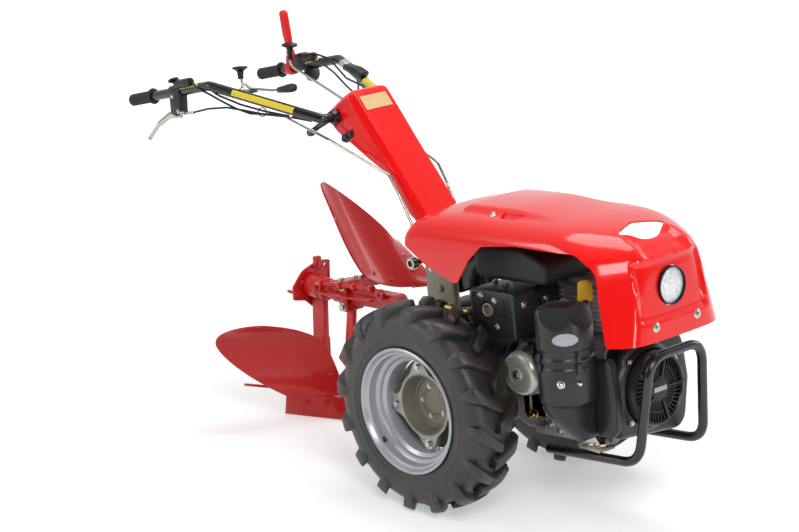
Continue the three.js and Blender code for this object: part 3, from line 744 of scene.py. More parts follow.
def rim():
    profile = [
        (167, 70), (168.5, 73), (168, 76), (165, 77.5), (161, 76), (158.5, 71), (155, 66), (150, 64),
        (148.5, 60), (148.5, 46), (147, 42), (142, 39.5), (137, 38), (135, 34), (134, 30), (129, 27),
        (124.5, 24), (123, 18), (122.5, -18), (124, -24), (133, -30), (143, -38), (148, -44),
        (148.5, -62), (154, -66), (158, -71), (161, -76), (165, -77.5), (168, -76), (168, -72),
        (160, -66), (153, -62), (152, -40), (138, -26), (127, -22), (127, 22), (138, 30), (152, 42),
        (153, 62), (160, 66),
    ]
    return lathed("barrel", profile, MIDDLE, OUTWARD, 96, 32)


STAR_FACE = 10  # outer face of the star, from the wheel's middle
STAR_TURN = math.radians(101)  # of its first lobe
LOBES = [STAR_TURN + index * TURN / 4 for index in range(4)]
BOLT_RING = 103  # radius on which the star is bolted to the rim


def star_plate():
    """The four-lobed plate of the wheel with its sunken middle."""
    outline = []
    for step in range(96):
        angle = TURN * step / 96
        wave = math.cos(4 * (angle - STAR_TURN))
        reach = 89 + 31 * max(0.0, (wave + 0.25) / 1.25) ** 1.6
        outline.append((reach * math.cos(angle), reach * math.sin(angle)))
    face_y = MIDDLE[1] - STAR_FACE
    plate = slab("star", "xz", outline, face_y, face_y + 7)
    carved(plate, rod("cup_room", (0, face_y - 5, 0), (0, face_y + 12, 0), 82, sides=72))
    for angle in LOBES:
        x, z = BOLT_RING * math.cos(angle), BOLT_RING * math.sin(angle)
        carved(plate, rod("slot", (x, face_y - 9, z), (x, face_y + 16, z), 8.5, sides=20))
    return soften(plate, 1.6, 2)


def wheel_cup():
    face = STAR_FACE
    profile = [
        (84, face - 1), (82, face + 1.2), (79.5, face + 0.4), (77, face - 8), (73, face - 24), (68, -26),
        (64.5, -27), (63, -25), (58, -24.5), (57, -27), (52, -28), (34, -28), (31, -26), (27, -25.4),
        (0, -25.4), (0, -33), (60, -33), (72, -31), (122, -31), (122, -27), (75, -27), (78, -22),
        (81, face - 14), (84, face - 7),
    ]
    return lathed("cup", profile, MIDDLE, OUTWARD, 72, 40)


def rim_lugs():
    """Brackets that join the star's lobes to the rim."""
    face_y = MIDDLE[1] - STAR_FACE
    first = slab(
        "rim_lug", "xz",
        [(96, -19, 5), (124.5, -26, 1), (124.5, 26, 1), (96, 19, 5)],
        face_y + 7.5, face_y + 13,
    )
    gusset = slab("gusset", "xy", [(104, face_y + 12), (124, face_y + 12), (124, face_y + 34)], -3, 3)
    first = soften(joined("rim_lug", [first, gusset]), 1.0, 1)
    first.data.transform(Matrix.Rotation(-STAR_TURN, 4, "Y"))
    return spread(first, "rim_lugs", 4, "Y", MIDDLE)


def hub_shaft():
    flange = [
        (0, -34), (60, -34), (62, -36), (62, -44), (40, -46), (30, -50), (22, -56), (21, -96), (0, -96),
    ]
    return lathed("hub_flange", flange, MIDDLE, OUTWARD, 48, 35)


def wheels():
    out = Vector(OUTWARD)
    face_y = MIDDLE[1] - STAR_FACE
    cup_y = MIDDLE[1] + 28
    parts = {
        "treaded_tyre": (tyre(), "tyre", "tyre"),
        "wheel_rim": (rim(), "rim_silver", "rim_silver"),
        # One paint on star and cup: the star's lighter grey is painted light, the cup's darker grey painted
        # shade.
        "wheel_star": (star_plate(), "star_lit_grey", "disc_grey"),
        "wheel_cup": (wheel_cup(), "disc_grey", "disc_grey"),
        "rim_brackets": (rim_lugs(), "rim_silver", "rim_silver"),
        "hub_flange": (hub_shaft(), "steel", "steel"),
    }
    star_bolts = [
        bolt("star_bolt", (BOLT_RING * math.cos(a), face_y, BOLT_RING * math.sin(a)), out, 17, 8)
        for a in LOBES
    ]
    cup_bolts = [
        bolt("cup_bolt", (43 * math.cos(a), cup_y, 43 * math.sin(a)), out, 10, 4)
        for a in (TURN * step / 5 + 0.7 for step in range(5))
    ]
    parts["wheel_bolts"] = (joined("wheel_bolts", star_bolts + cup_bolts), "bolt_zinc", "steel")
    stem = rod("stem", (-96, MIDDLE[1] - 58, -108), (-90, MIDDLE[1] - 66, -101), 5.5, 4.5, 20)
    cap = rod("cap", (-90, MIDDLE[1] - 66, -101), (-83, MIDDLE[1] - 75, -93), 4.2, 3.6, 16)
    parts["tyre_valve"] = (soften(joined("valve", [stem, cap]), 0.8), "black_plastic", "tyre")
    stands_for = {
        "treaded_tyre": "tyre", "wheel_rim": "rim", "wheel_star": "wheel_disc", "hub_flange": "half_shaft",
    }
    for name, (piece, look, slot) in parts.items():
        left = copy_of(piece, name + "_left", Matrix.Scale(-1, 4, LEFT))
        right = copy_of(piece, name + "_right")
        bpy.data.objects.remove(piece)
        for (side, _), made in zip(SIDES, (right, left)):
            seated(made, "wheel_" + side, look, slot, ON_AXLE)
            if name in stands_for:
                replace(made, f"{stands_for[name]}_{side}")


wheels()


# ---- Hood -----------------------------------------------------------------------------
HOOD_WALL = 4
HOOD_TAIL, HOOD_CORE = -100, 535  # the hood is drawn fanwise about a line between these
HOOD_BASE = 200  # height of that line
BLEND = 0.095  # sharpness of the hood's edges, per mm
LAMP_HEIGHT, LAMP_RADIUS, LAMP_FACE = 336, 49, 629


def ramp(value, low, high):
    """0 at low, 1 at high, with an eased start and end."""
    t = min(1.0, max(0.0, (value - low) / (high - low)))
    return t * t * (3 - 2 * t)


def inside_of(value, middle, half, edge):
    """1 within half of the middle, 0 outside, with a soft edge."""
    return 1 - ramp(abs(value - middle), half - edge, half + edge)


def hood_reach(place):
    """Below 0 inside the hood, above 0 outside; its flats melt into each other."""
    x, y, z = place
    side = abs(y)
    crown = 501 - 0.00052 * max(0, x - 330) ** 2 - 0.00022 * max(0, 150 - x) ** 2 - 0.0004 * y * y
    flats = (
        z - crown,
        side - 214 + max(0, z - 330) * 0.10,
        (x - 652) + (z - 212) * 0.045 + y * y * 0.00020,
        (x - 604) * 0.70 + (side - 200) * 0.69 + (z - 213) * 0.195,
        (x - 556) * 0.42 + (side - 214) * 0.50 + (z - 404) * 0.76,
        (side - 214) * 0.62 + (z - 455) * 0.78,
        (x - 640) * 0.80 + (z - 424) * 0.60,
        (-92 - x) * 0.86 + (z - 452) * 0.5,
    )
    return math.log(sum(math.exp(BLEND * flat) for flat in flats)) / BLEND


def hood_sink(place):
    """How far the panels around the lamp and the grip are pressed in."""
    x, y, z = place
    lamp_panel = 11 * inside_of(y, 0, 120, 7) * inside_of(z, 336, 72, 7) * ramp(x, 596, 616)
    grip_scoop = 14 * inside_of(y, 0, 78, 18) * inside_of(x, 602, 30, 14) * ramp(z, 396, 424)
    pad = 13 * inside_of(y, 0, 118, 13) * ramp(x, 42, 60) * (1 - ramp(x, 190, 400)) * ramp(z, 430, 460)
    return lamp_panel + grip_scoop - pad


def last_inside(place_at, low, high, halvings):
    """How far place_at(distance) goes before it leaves the hood."""
    for _ in range(halvings):
        middle = (low + high) / 2
        if hood_reach(place_at(middle)) < 0:
            low = middle
        else:
            high = middle
    return low


def hood_surface(along, rise):
    """along: 0 rear right, 1 rear left, round the nose; rise: 0 at the side, 1 on the top line."""
    straight, lift = 0.36, rise * math.pi / 2
    if along < straight or along > 1 - straight:
        run = min(along, 1 - along) / straight
        core = Vector((HOOD_TAIL + (HOOD_CORE - HOOD_TAIL) * run, 0, HOOD_BASE))
        plan = Vector((0, -1 if along < 0.5 else 1, 0))
    else:
        turn = math.pi * (along - straight) / (1 - 2 * straight)
        core = Vector((HOOD_CORE, 0, HOOD_BASE))
        plan = Vector((math.sin(turn), -math.cos(turn), 0))
    heading = plan * math.cos(lift) + UP * math.sin(lift)
    place = core + heading * last_inside(lambda way: core + heading * way, 0.0, 700.0, 26)
    sink = hood_sink(place)
    if abs(sink) > 0.01:
        slope = Vector(
            [hood_reach(place + step) - hood_reach(place - step) for step in (FORWARD, LEFT, UP)],
        )
        place -= slope.normalized() * sink
    return place


def hood():
    shell = looking(welded(sheet_of("hood_shell", hood_surface, 250, 64)), UP)
    apply(shell, "SOLIDIFY", thickness=HOOD_WALL, offset=-1, use_even_offset=True)
    side = [
        (-92, 404, 14), (-8, 358, 10), (100, 321, 24), (143, 388, 16), (186, 428, 30), (300, 440, 20),
        (500, 438, 60), (560, 400, 60), (593, 216, 9), (700, 207), (700, 620), (-88, 620), (-96, 440, 10),
    ]
    worked(shell, "INTERSECT", slab("side_cut", "xz", side, -320, 320, 8))
    grip = slab("grip_cut", "xy", [(516, 0, 34), (549, -97, 14), (592, 0, 70), (549, 97, 14)], 380, 620, 8)
    lamp = rod("lamp_cut", (560, 0, LAMP_HEIGHT), (720, 0, LAMP_HEIGHT), LAMP_RADIUS + 0.8, sides=48)
    carved(shell, grip, lamp)
    trays = []
    for _, sign in SIDES:
        corners = [(196, sign * 116), (200, sign * 142), (256, sign * 142), (268, sign * 116)]
        carved(shell, slab("vent_cut", "xy", [(x, y, 6) for x, y in corners], 440, 560))
        near, far = sorted((sign * 104, sign * 154))

        def under_vent(u, v):
            x, y = 180 + 104 * u, near + (far - near) * v
            return Vector((x, y, hood_top(x, y) - 6.5))

        tray = sheet_of("vent_tray", under_vent, 12, 8)
        trays.append(apply(tray, "SOLIDIFY", thickness=2, offset=0))
    scoop = slab("scoop_cut", "yz", [(-84, 487, 3), (84, 487, 3), (80, 497, 3), (-80, 497, 3)], 20, 66)
    carved(shell, scoop)
    trays.append(soften(block("scoop_tray", (56, -96, 478), (130, 96, 481)), 1))
    seated(joined("hood_vent_trays", trays), "bonnet", "hood_red")
    smooth(shell, 32)
    seated(shell, "bonnet", "hood_red")
    replace(shell, "hood")


def headlamp():
    place = (LAMP_FACE, 0, LAMP_HEIGHT)
    ring = [(43, -4), (48.8, -4), (48.8, 12), (48.2, 14), (46.8, 14.6), (45.8, 12), (45.4, 6), (43, 2)]
    bezel = lathed("headlamp_ring", ring, place, (1, 0, 0), 64, 30)
    replace(seated(bezel, "bonnet", "black_plastic"), "headlamp_bezel")
    glass = [(0, 15), (16, 14.5), (30, 12.6), (40, 9.6), (45.4, 6), (45.4, 3), (0, 8)]
    lens = lathed("headlamp_glass", glass, place, (1, 0, 0), 64, 50)
    replace(seated(lens, "bonnet", "lens"), "headlamp_lens")
    bowl = [
        (0, -30), (12, -29), (26, -20), (36, -6), (40, 0), (41, 0), (37, -8), (27, -22), (12, -31),
        (0, -32),
    ]
    seated(lathed("headlamp_bowl", bowl, place, (1, 0, 0), 48, 50), "bonnet", "chrome", "lens")


def hood_fittings():
    cup = [(0, 3), (9, 3), (12.5, 0.5), (12.5, -1), (0, -1)]
    screws = []
    for _, sign in SIDES:
        place = Vector((649, sign * 77, 247))
        screws.append(lathed("cup_washer", cup, place, (1, 0, 0), 32, 30))
        screws.append(bolt("nose_bolt", place + FORWARD * 3, (1, 0, 0), 9, 4, washer=False))
    seated(joined("hood_nose_screws", screws), "bonnet", "bolt_zinc", "steel")
    knob = [(0, 9), (4, 8.4), (6, 6), (4.5, 3), (6, 1), (9.5, 0), (9.5, -1.5), (0, -1.5)]
    for side, sign in SIDES:
        latch = lathed("hood_latch_" + side, knob, (168, sign * 129, hood_top(168, 129)), (0, 0, 1), 32, 40)
        seated(latch, "bonnet", "chrome", "steel")


def hood_top(x, y):
    """Height of the hood's upper face."""
    top = last_inside(lambda z: (x, y, z), 300.0, 600.0, 24)
    return top - hood_sink((x, y, top))


hood()
headlamp()
hood_fittings()


# ---- Engine ---------------------------------------------------------------------------
def muffler():
    back, front, low, top, face = 111, 265, 184, 308, -178
    outline = [(x, z, 12) for x, z in ((back, low), (front, low), (front, top), (back, top))]
    guard = slab("muffler_guard", "xz", outline, face, -8)
    soften(guard, 5, 3, 40)
    out, deep = face - 6, face + 4
    cuts = [
        block("vent", (124 + 11.5 * n, -171, top - 5), (129.5 + 11.5 * n, -156, top + 7)) for n in range(12)
    ]
    cuts += [block("vent", (226, out, 234 + 8.6 * n), (252, deep, 237.6 + 8.6 * n)) for n in range(7)]
    cuts += [block("vent", (118, out, 286 + 8 * n), (134, deep, 290 + 8 * n)) for n in range(2)]
    cuts += [
        block("vent", (122 + 4 * n, out, 222 - 8 * n), (164 + 5 * n, deep, 225 - 8 * n)) for n in range(3)
    ]
    cuts.append(rod("mouth", (170, out, 256), (170, -166, 256), 23, sides=48))
    carved(guard, joined("vents", cuts))
    replace(seated(smooth(guard, 30), "tractor", "engine_black"), "muffler")
    tip = [(0, 4), (12, 4), (13, 13), (15, 15), (18, 14), (19, 8), (21, 2), (21, 0), (0, 0)]
    seated(
        lathed("exhaust_outlet", tip, (170, -166, 256), (0, -1, 0), 40, 35),
        "tractor", "pipe_brown", "cast_aluminium",
    )
    face_bolts = [(196, face, 283), (200, face, 215), (148, face, 292)]
    top_bolts = [(124, -96, top), (176, -112, top), (128, -30, top)]
    bolts("muffler_bolts_front", face_bolts, (0, -1, 0), "tractor", 11, 5)
    bolts("muffler_bolts_top", top_bolts, (0, 0, 1), "tractor", 10, 5)
    bolts("muffler_bolts_side", [(front, -141, 272), (front, -60, 272)], (1, 0, 0), "tractor", 12, 5)
    stub = rod("exhaust_neck", (236, -60, 176), (236, -60, 190), 17)
    seated(soften(stub, 1.5), "tractor", "pipe_brown", "cast_aluminium")


CANISTER = (452, -196)  # middle of the air cleaner
CANISTER_RADIUS = 72


def level_direction(angle):
    """The level direction at an angle from forward, in degrees to the left."""
    turn = math.radians(angle)
    return Vector((math.cos(turn), math.sin(turn), 0))


def air_cleaner():
    r = CANISTER_RADIUS
    profile = [
        (0, 310), (30, 309.5), (52, 307), (63, 302), (69, 294), (71, 282), (71.6, 206), (70, 203),
        (68.4, 200), (68.4, 186), (70, 183), (r, 180), (r, 172), (69.5, 169), (69, 163), (70, 160),
        (r, 157), (r, 72), (68, 66), (0, 66),
    ]
    can = turning("canister", profile, (*CANISTER, 0), (0, 0, 1), 72)
    # Two pressed flats on the cover's forward shoulder.
    for turn, lean, reach in ((8, 52, 62), (-62, 56, 66)):
        facet = block("facet", (-90, -90, 0), (90, 90, 90))
        away = Matrix.Rotation(math.radians(turn), 4, "Z") @ Matrix.Rotation(math.radians(lean), 4, "Y")
        facet.data.transform(
            Matrix.Translation((*CANISTER, 246)) @ away @ Matrix.Translation((0, 0, reach)),
        )
        carved(can, facet)
    soften(can, 1.5, 2, 24)
    replace(seated(can, "tractor", "engine_black"), "air_cleaner")

    badge = [(0, 2.2), (29, 2.2), (32, 0.6), (32, -1.5), (0, -1.5)]
    out = level_direction(-46)
    plate = turning("blank_badge", badge, (0, 0, 0), (0, 0, 1), 40)
    plate.data.transform(Matrix.Diagonal((1.0, 0.5, 1, 1)))
    plate.data.transform(Matrix.Translation(Vector((*CANISTER, 236)) + out * (r - 0.5)) @ facing(out))
    seated(smooth(plate, 40), "tractor", "label_grey", "engine_black")

    clasps = []
    for angle in (-112, -22, 68):
        away = level_direction(angle)
        at = Vector((*CANISTER, 0)) + away * (r - 1)
        side = UP.cross(away)
        for low, high, half, depth in ((148, 170, 7, 8), (176, 196, 5, 7), (216, 244, 3.4, 4)):
            clasp = block("clasp", (-1, -half, low), (depth, half, high))
            clasp.data.transform(Matrix.Translation(at) @ Matrix.Rotation(math.radians(angle), 4, "Z"))
            clasps.append(soften(clasp, 1.2, 2))
        pin_at = at + away * 5 + UP * 172
        clasps.append(rod("pin", pin_at + side * 9, pin_at - side * 9, 2.2))
    seated(joined("canister_clasps", clasps), "tractor", "engine_black")
    knob_at = Vector((*CANISTER, 123))
    knobs = []
    for turn, size in ((-60, 8.5), (-24, 6)):
        away = level_direction(turn)
        profile = [
            (0, 12), (size * 0.6, 11), (size, 7), (size, 2), (size * 1.25, 0), (size * 1.25, -3), (0, -3),
        ]
        knobs.append(lathed("knob", profile, knob_at + away * r, away, 24, 40))
    seated(joined("canister_knobs", knobs), "tractor", "bolt_zinc", "steel")

    sections = []
    for radius, x, y, z in (
        (68, 452, -196, 66), (69, 453, -195, 52), (64, 458, -191, 30), (52, 470, -182, 0),
        (40, 479, -174, -22), (34, 482, -171, -34),
    ):
        sections.append([
            Vector((x + radius * math.cos(TURN * s / 36), y + radius * math.sin(TURN * s / 36), z))
            for s in range(36)
        ])
    base = loft("canister_base", sections)
    base = worked(base, "INTERSECT", block("base_room", (380, -300, -40), (499.5, -100, 65.6)))
    soften(base, 3, 2)
    replace(seated(base, "tractor", "engine_black"), "air_cleaner_base")


FAN = (-18, 70)  # middle of the recoil cover, left and up


def blower():
    outline = [
        (-150, -40, 40), (116, -70, 50), (140, 60, 50), (122, 190, 55), (-90, 196, 55), (-128, 110, 40),
    ]
    shell = soften(slab("blower_shell", "yz", outline, 500.4, 560, 8), 16, 5, 40)
    volute = [(0, 0), (122, 0), (121, 36), (116, 52), (108, 60), (100, 64), (98, 60), (92, 58), (0, 58)]
    spiral = lathed("volute", volute, (504, *FAN), (1, 0, 0), 72, 40)
    worked(shell, "UNION", spiral)
    ribs = [block("louvre", (512, -158, 6 + 15 * n), (548, -124, 12 + 15 * n)) for n in range(7)]
    carved(shell, joined("louvres", ribs))
    smooth(shell, 35)
    replace(seated(shell, "tractor", "engine_black"), "blower_housing")
    duct = slab(
        "air_duct", "xz",
        [(488, 150, 14), (552, 172, 20), (566, 60, 20), (560, -30, 24), (508, -36, 14), (496, 40, 20)],
        -158, -122,
    )
    seated(soften(duct, 9, 4, 40), "tractor", "engine_black")

    middle = (567, *FAN)
    ring = [(84, -2), (95, -2), (95, 22), (92, 28), (87, 30), (84, 26)]
    cover = [lathed("ring", ring, middle, (1, 0, 0), 72, 35)]
    boss = [(0, 30), (26, 30), (31, 28), (33, 24), (33, 0), (0, 0)]
    cover.append(lathed("boss", boss, middle, (1, 0, 0), 48, 35))
    slat = slab(
        "slat", "yz", [(32, -1.1), (60, 5.4), (86, 16.0), (86, 18.4), (59, 8.0), (32, 1.4)], 582, 593, 1,
    )
    slat.data.transform(Matrix.Translation((0, *FAN)))
    cover.append(spread(slat, "slats", 44, "X", middle))
    hoop = [(59, 18), (62, 18), (62, 25.5), (59, 25.5)]
    cover.append(turning("hoop", hoop, middle, (1, 0, 0), 60))
    spoke = soften(block("spoke", (580, 26, -4), (597.5, 90, 4)), 1.5, 2)
    spoke.data.transform(Matrix.Translation((0, *FAN)))
    cover.append(spread(spoke, "spokes", 5, "X", middle))
    grille = joined("recoil_grille", cover)
    replace(seated(grille, "tractor", "black_plastic"), "recoil_cover")
    back = [(0, 0), (90, 0), (90, 4), (0, 4)]
    seated(
        turning("fan_shadow", back, (566.6, *FAN), (1, 0, 0), 48), "tractor", "dark_inside",
        "black_plastic",
    )
    plate = soften(block("blank_nameplate", (596.6, -24, -6), (598.4, 24, 6)), 0.8, 2)
    plate.data.transform(Matrix.Translation((0, *FAN)))
    seated(plate, "tractor", "label_grey", "black_plastic")
    rim_bolts = [
        (566, FAN[0] + 108 * math.cos(a), FAN[1] + 108 * math.sin(a)) for a in (0.5, 2.3, 3.9, 5.4)
    ]
    bolts("recoil_bolts", rim_bolts, (1, 0, 0), "tractor", 9, 5)


def starter():
    cup = [
        (0, 60), (9, 60), (10, 62.5), (14, 62.5), (15.5, 60.5), (21, 60), (24, 61.5), (36, 60.5),
        (45, 57), (51, 50), (54, 42), (55, 24), (58, 20), (58, 0), (0, 0),
    ]
    drum = turning("starter_drum", cup, (0, -109, 0), (0, -1, 0), 72)
    x, z = 250, 94  # its middle
    drum.data.transform(Matrix.Translation((x, 0, z)) @ Matrix.Diagonal((1.13, 1, 1.08, 1)))
    replace(seated(soften(drum, 1.5, 3, 25), "tractor", "starter_zinc", "zinc"), "starter_cover")
    star = bolt("starter_star", (x, -171, z), (0, -1, 0), 15, 5)
    seated(star, "tractor", "bolt_zinc", "zinc")
    solenoid = [(0, 0), (15, 0), (16, 2), (16, 44), (13, 48), (6, 50), (4, 58), (0, 58)]
    body = lathed("starter_solenoid", solenoid, (254, -136, 158), (1, -0.15, 0.1), 32, 35)
    seated(body, "tractor", "black_plastic")
    clip = soften(
        slab(
            "starter_clip", "xz", [(228, 150, 4), (262, 176, 6), (284, 172, 4), (250, 140, 4)], -150, -128,
        ),
        2,
    )
    seated(clip, "tractor", "pipe_brown", "cast_aluminium")
    leads = [
        ((300, -146, 162), (330, -160, 176), (338, -140, 130), (318, -118, 96)),
        ((292, -150, 150), (318, -172, 140), (322, -160, 110), (300, -116, 78)),
        ((262, -128, 176), (250, -120, 196), (220, -112, 176)),
    ]
    for index, path in enumerate(leads):
        seated(pipe(f"starter_lead_{index}", path, 3.2, 18), "tractor", "black_plastic")


def engine_block():
    dressed("crankcase", 5, 3)
    fin = [(256, -2, 8), (440, -2, 8), (440, 106, 8), (256, 106, 8)]
    fins = [soften(slab("fin", "xy", fin, z, z + 5), 1.5, 1) for z in range(186, 291, 13)]
    head = slab("head_core", "yz", [(8, 178.4), (96, 178.4), (96, 300, 14), (8, 300, 14)], 264, 430)
    lid = [(14, 290, 6), (90, 290, 6), (84, 318, 14), (20, 318, 14)]
    cover = soften(slab("rocker_cover", "yz", lid, 276, 418), 4, 3)
    finned = joined("finned_cylinder", [soften(head, 3), *fins, cover])
    replace(seated(finned, "tractor", "cast_aluminium"), "cylinder_head")

    plug = [(0, 0), (13, 0), (13, 4), (9, 6), (9, 18), (11, 20), (11, 26), (7, 28), (6, 38), (0, 38)]
    brass = lathed("drain_plug", plug, (247, -98, -26), (0, -1, 0.1), 24, 30)
    head_bolt = bolt("drain_hex", (247, -104, -26), (0, -1, 0.1), 22, 8, washer=False)
    seated(joined("brass_drain_plug", [brass, head_bolt]), "tractor", "brass", "zinc")
    belly = [(150, 6, 16), (158, -44, 26), (206, -68, 24), (404, -68, 16), (416, 8, 12), (300, 30, 20)]
    sump = slab("sump", "xz", belly, -99, -58, 8)
    seated(soften(sump, 7, 4, 40), "tractor", "cast_aluminium")
    rib = [(-115, -30), (-108, -44), (-60, -52), (-108, 60), (-115, 50)]
    ribs = [soften(slab("case_rib", "yz", rib, x, x + 6), 1.5, 1) for x in (232, 286, 340, 394)]
    seated(joined("crankcase_ribs", ribs), "tractor", "cast_aluminium")

    sole = [
        (300, -46, 6), (318, -8, 8), (352, -8, 8), (388, -40, 8), (470, -44, 6), (476, -62, 4), (296, -64, 4),
    ]
    foot = slab("engine_foot", "xz", sole, -132, -104)
    seated(soften(foot, 3, 2), "tractor", "cast_aluminium")
    outer = [(322, -132, -34), (356, -132, -46), (452, -132, -54)]
    bolts("engine_foot_bolts", outer, (0, -1, 0), "tractor", 15, 8)
    upper = [(312, -118, -62), (404, -118, -44), (440, -118, -44)]
    bolts("engine_foot_studs", upper, (0, 0, 1), "tractor", 14, 9)
    bracket = [(404, -46, 5), (440, -30, 8), (474, -34, 8), (500, -66, 6), (492, -84, 5), (420, -78, 8)]
    arm = slab("mount_arm", "xz", bracket, -140, -133)
    seated(soften(arm, 2, 2), "tractor", "zinc")
    ear = [(440, -160, 6), (520, -150, 6), (520, -112, 4), (440, -112, 4)]
    tab = soften(slab("cradle_tab", "xy", ear, -72, -67), 1.2)
    seated(tab, "tractor", "beige_plate")
    bolts("cradle_tab_bolts", [(468, -142, -67), (500, -136, -67)], (0, 0, 1), "tractor", 16, 10)

    tag = slab(
        "tag", "yz", [(-20, 290, 6), (20, 292, 6), (20, 334, 10), (8, 346, 12), (-16, 344, 10)], -2.5, 2.5,
    )
    tag.data.transform(Matrix.Translation((446, -108, 4)) @ Matrix.Rotation(math.radians(-42), 4, "Z"))
    tube_piece = rod("tube", (446, -108, 176), (446, -108, 300), 7.5)
    handle = soften(tag, 1.5, 2)
    replace(seated(handle, "tractor", "yellow"), "oil_filler_cap")
    seated(soften(tube_piece, 1), "tractor", "black_plastic")


def tank():
    outline = [(80, 322, 24), (335, 322, 24), (335, 376, 30), (250, 414, 40), (80, 414, 30)]
    body = soften(slab("tank", "xz", outline, -128, 140), 16, 5, 40)
    cap = [(0, 442), (26, 442), (30, 440), (33, 434), (33, 414), (30, 410), (0, 410)]
    lid = lathed("tank_cap", cap, (150, 60, 0), (0, 0, 1), 40, 40)
    replace(
        seated(joined("fuel_tank_shell", [body, lid]), "tractor", "dark_inside", "black_plastic"),
        "fuel_tank",
    )
    path = [(250, -60, 322), (262, -90, 300), (300, -100, 270), (340, -90, 230), (360, -60, 190)]
    hose = pipe("fuel_hose", path, 5, 30)
    seated(hose, "tractor", "black_plastic")


def shift_linkage():
    """The brass rod and the rubber boot beside the turret, above the gearbox."""
    rod_piece = soften(rod("shift_link", (-82, -96, 219), (18, -96, 213), 5, sides=24), 1, 2)
    seated(rod_piece, "tractor", "brass", "steel")
    nubs = [
        rod("nub", (-104, -96, 222), (-80, -96, 219), 12), rod("nub", (16, -96, 214), (34, -96, 211), 9),
    ]
    seated(joined("shift_link_ends", [soften(nub, 2, 2) for nub in nubs]), "tractor", "black_plastic")
    boot = [
        (0, 0), (22, 0), (24, 6), (20, 10), (23, 16), (18, 21), (21, 27), (16, 32), (18, 38), (13, 44),
        (13, 56), (0, 56),
    ]
    boot_foot = (-16, -84, 150)
    seated(lathed("shift_boot", boot, boot_foot, (0, 0, 1), 40, 30), "tractor", "black_plastic")
    ring = [(10, 57), (19, 57), (21, 60), (19, 64), (10, 64)]
    seated(lathed("shift_boot_ring", ring, boot_foot, (0, 0, 1), 40, 30), "tractor", "zinc", "steel")


muffler()
air_cleaner()
blower()
starter()
engine_block()
tank()
shift_linkage()


# ---- Handlebar column -----------------------------------------------------------------
ROOT = Vector((-462, 0, 700))
COLUMN = "steering_column"


def along(places, t):
    """A point a share of the way along straight stretches, by length."""
    places = [Vector(place) for place in places]
    lengths = [(after - before).length for before, after in zip(places, places[1:])]
    left = t * sum(lengths)
    for start, end, length in zip(places, places[1:], lengths):
        if left <= length:
            return start.lerp(end, left / length)
        left -= length
    return places[-1]


def swell(value, middle, reach):
    """1 at the middle, easing to 0 at the reach on both sides."""
    share = max(0.0, 1 - abs(value - middle) / reach)
    return share * share * (3 - 2 * share)


def column_cover():
    front = [(-142, 0, 436), (-399, 0, 758.8), (-408, 0, 767), (-422, 0, 769), (-434, 0, 765)]
    rear = [
        (-172, 0, 420), (-214, 0, 450), (-240, 0, 496), (-272, 0, 544), (-336, 0, 578), (-430, 0, 630),
        (-470, 0, 654), (-498, 0, 680), (-504, 0, 694), (-503, 0, 710), (-486, 0, 726),
    ]
    count = 56
    sections = []
    for index in range(count):
        t = index / (count - 1)
        ahead, behind = along(front, t), along(rear, t)
        depth = (ahead - behind).length
        shoulder = swell(t, 0.82, 0.4)
        half = 73 + 2 * shoulder - 22 * max(0.0, t - 0.93) / 0.07
        ridge = half - 14
        outline = [
            (0, -ridge, 5), (0, ridge, 5), (min(20, depth * 0.25), half - 3, 10),
            (depth * 0.5, half, 30), (depth, half, 12), (depth, -half, 12),
            (depth * 0.5, -half, 30), (min(20, depth * 0.25), -half + 3, 10),
        ]
        inward = (behind - ahead).normalized()
        sections.append([ahead + inward * a + LEFT * b for a, b in rounded(outline, 4)])
    cover = loft("column_cover_shell", sections)
    for vertex in cover.data.vertices:
        x, y, z = vertex.co
        boss = swell(math.hypot(x - ROOT.x - 14, z - ROOT.z + 6), 0, 62)
        crease = swell((z - 640) * 0.8 + (x + 400) * 0.6, 0, 26) * swell(x, -390, 120)
        if abs(y) > 56:
            vertex.co.y += math.copysign(4.5 * boss - 5.0 * crease, y)
    mouth = [(-300, 250), (0, 250), (-60, 470), (-141, 434.5), (-173, 419), (-214.5, 446), (-300, 446)]
    carved(cover, slab("mouth", "xz", mouth, -120, 120))
    hollow = slab(
        "hollow", "xz",
        [
            (-120, 300), (-150, 440), (-380, 726), (-450, 700), (-410, 630), (-262, 552), (-226, 460),
            (-190, 300),
        ],
        -58, 58,
    )
    carved(cover, soften(hollow, 6, 2))
    replace(seated(smooth(cover, 24), COLUMN, "column_red", "hood_red"), "column_cover")

    # Blank sign on the front face.
    slope = (Vector((-392, 0, 750)) - Vector((-142, 0, 436))).normalized()
    out = Vector((slope.z, 0, -slope.x))
    low, high = Vector((-366.6, 0, 718.2)) + out * 0.3, Vector((-394, 0, 752.6)) + out * 0.3
    sign = sheet_of("column_sign", lambda u, v: low.lerp(high, v) + LEFT * (-50 + 96 * u), 12, 4)
    apply(sign, "SOLIDIFY", thickness=1.4, offset=1)
    seated(soften(sign, 0.4, 1), COLUMN, "label_beige", "beige_plate")

    clip = soften(
        slab(
            "cover_clip", "xz",
            [(-446, 650), (-404, 668, 4), (-398, 650, 4), (-432, 628, 5), (-450, 634, 4)], -80, -62,
        ),
        2,
    )
    nub = rod("clip_nub", (-438, -84, 638), (-438, -62, 638), 6, sides=20)
    seated(joined("cover_clip", [clip, soften(nub, 2)]), COLUMN, "black_plastic")
    bolts(
        "cover_screws", [(-410, -80, 654), (-426, -80, 645)], (0, -1, 0), COLUMN, 9, 4, "black_steel",
        "black_steel",
    )


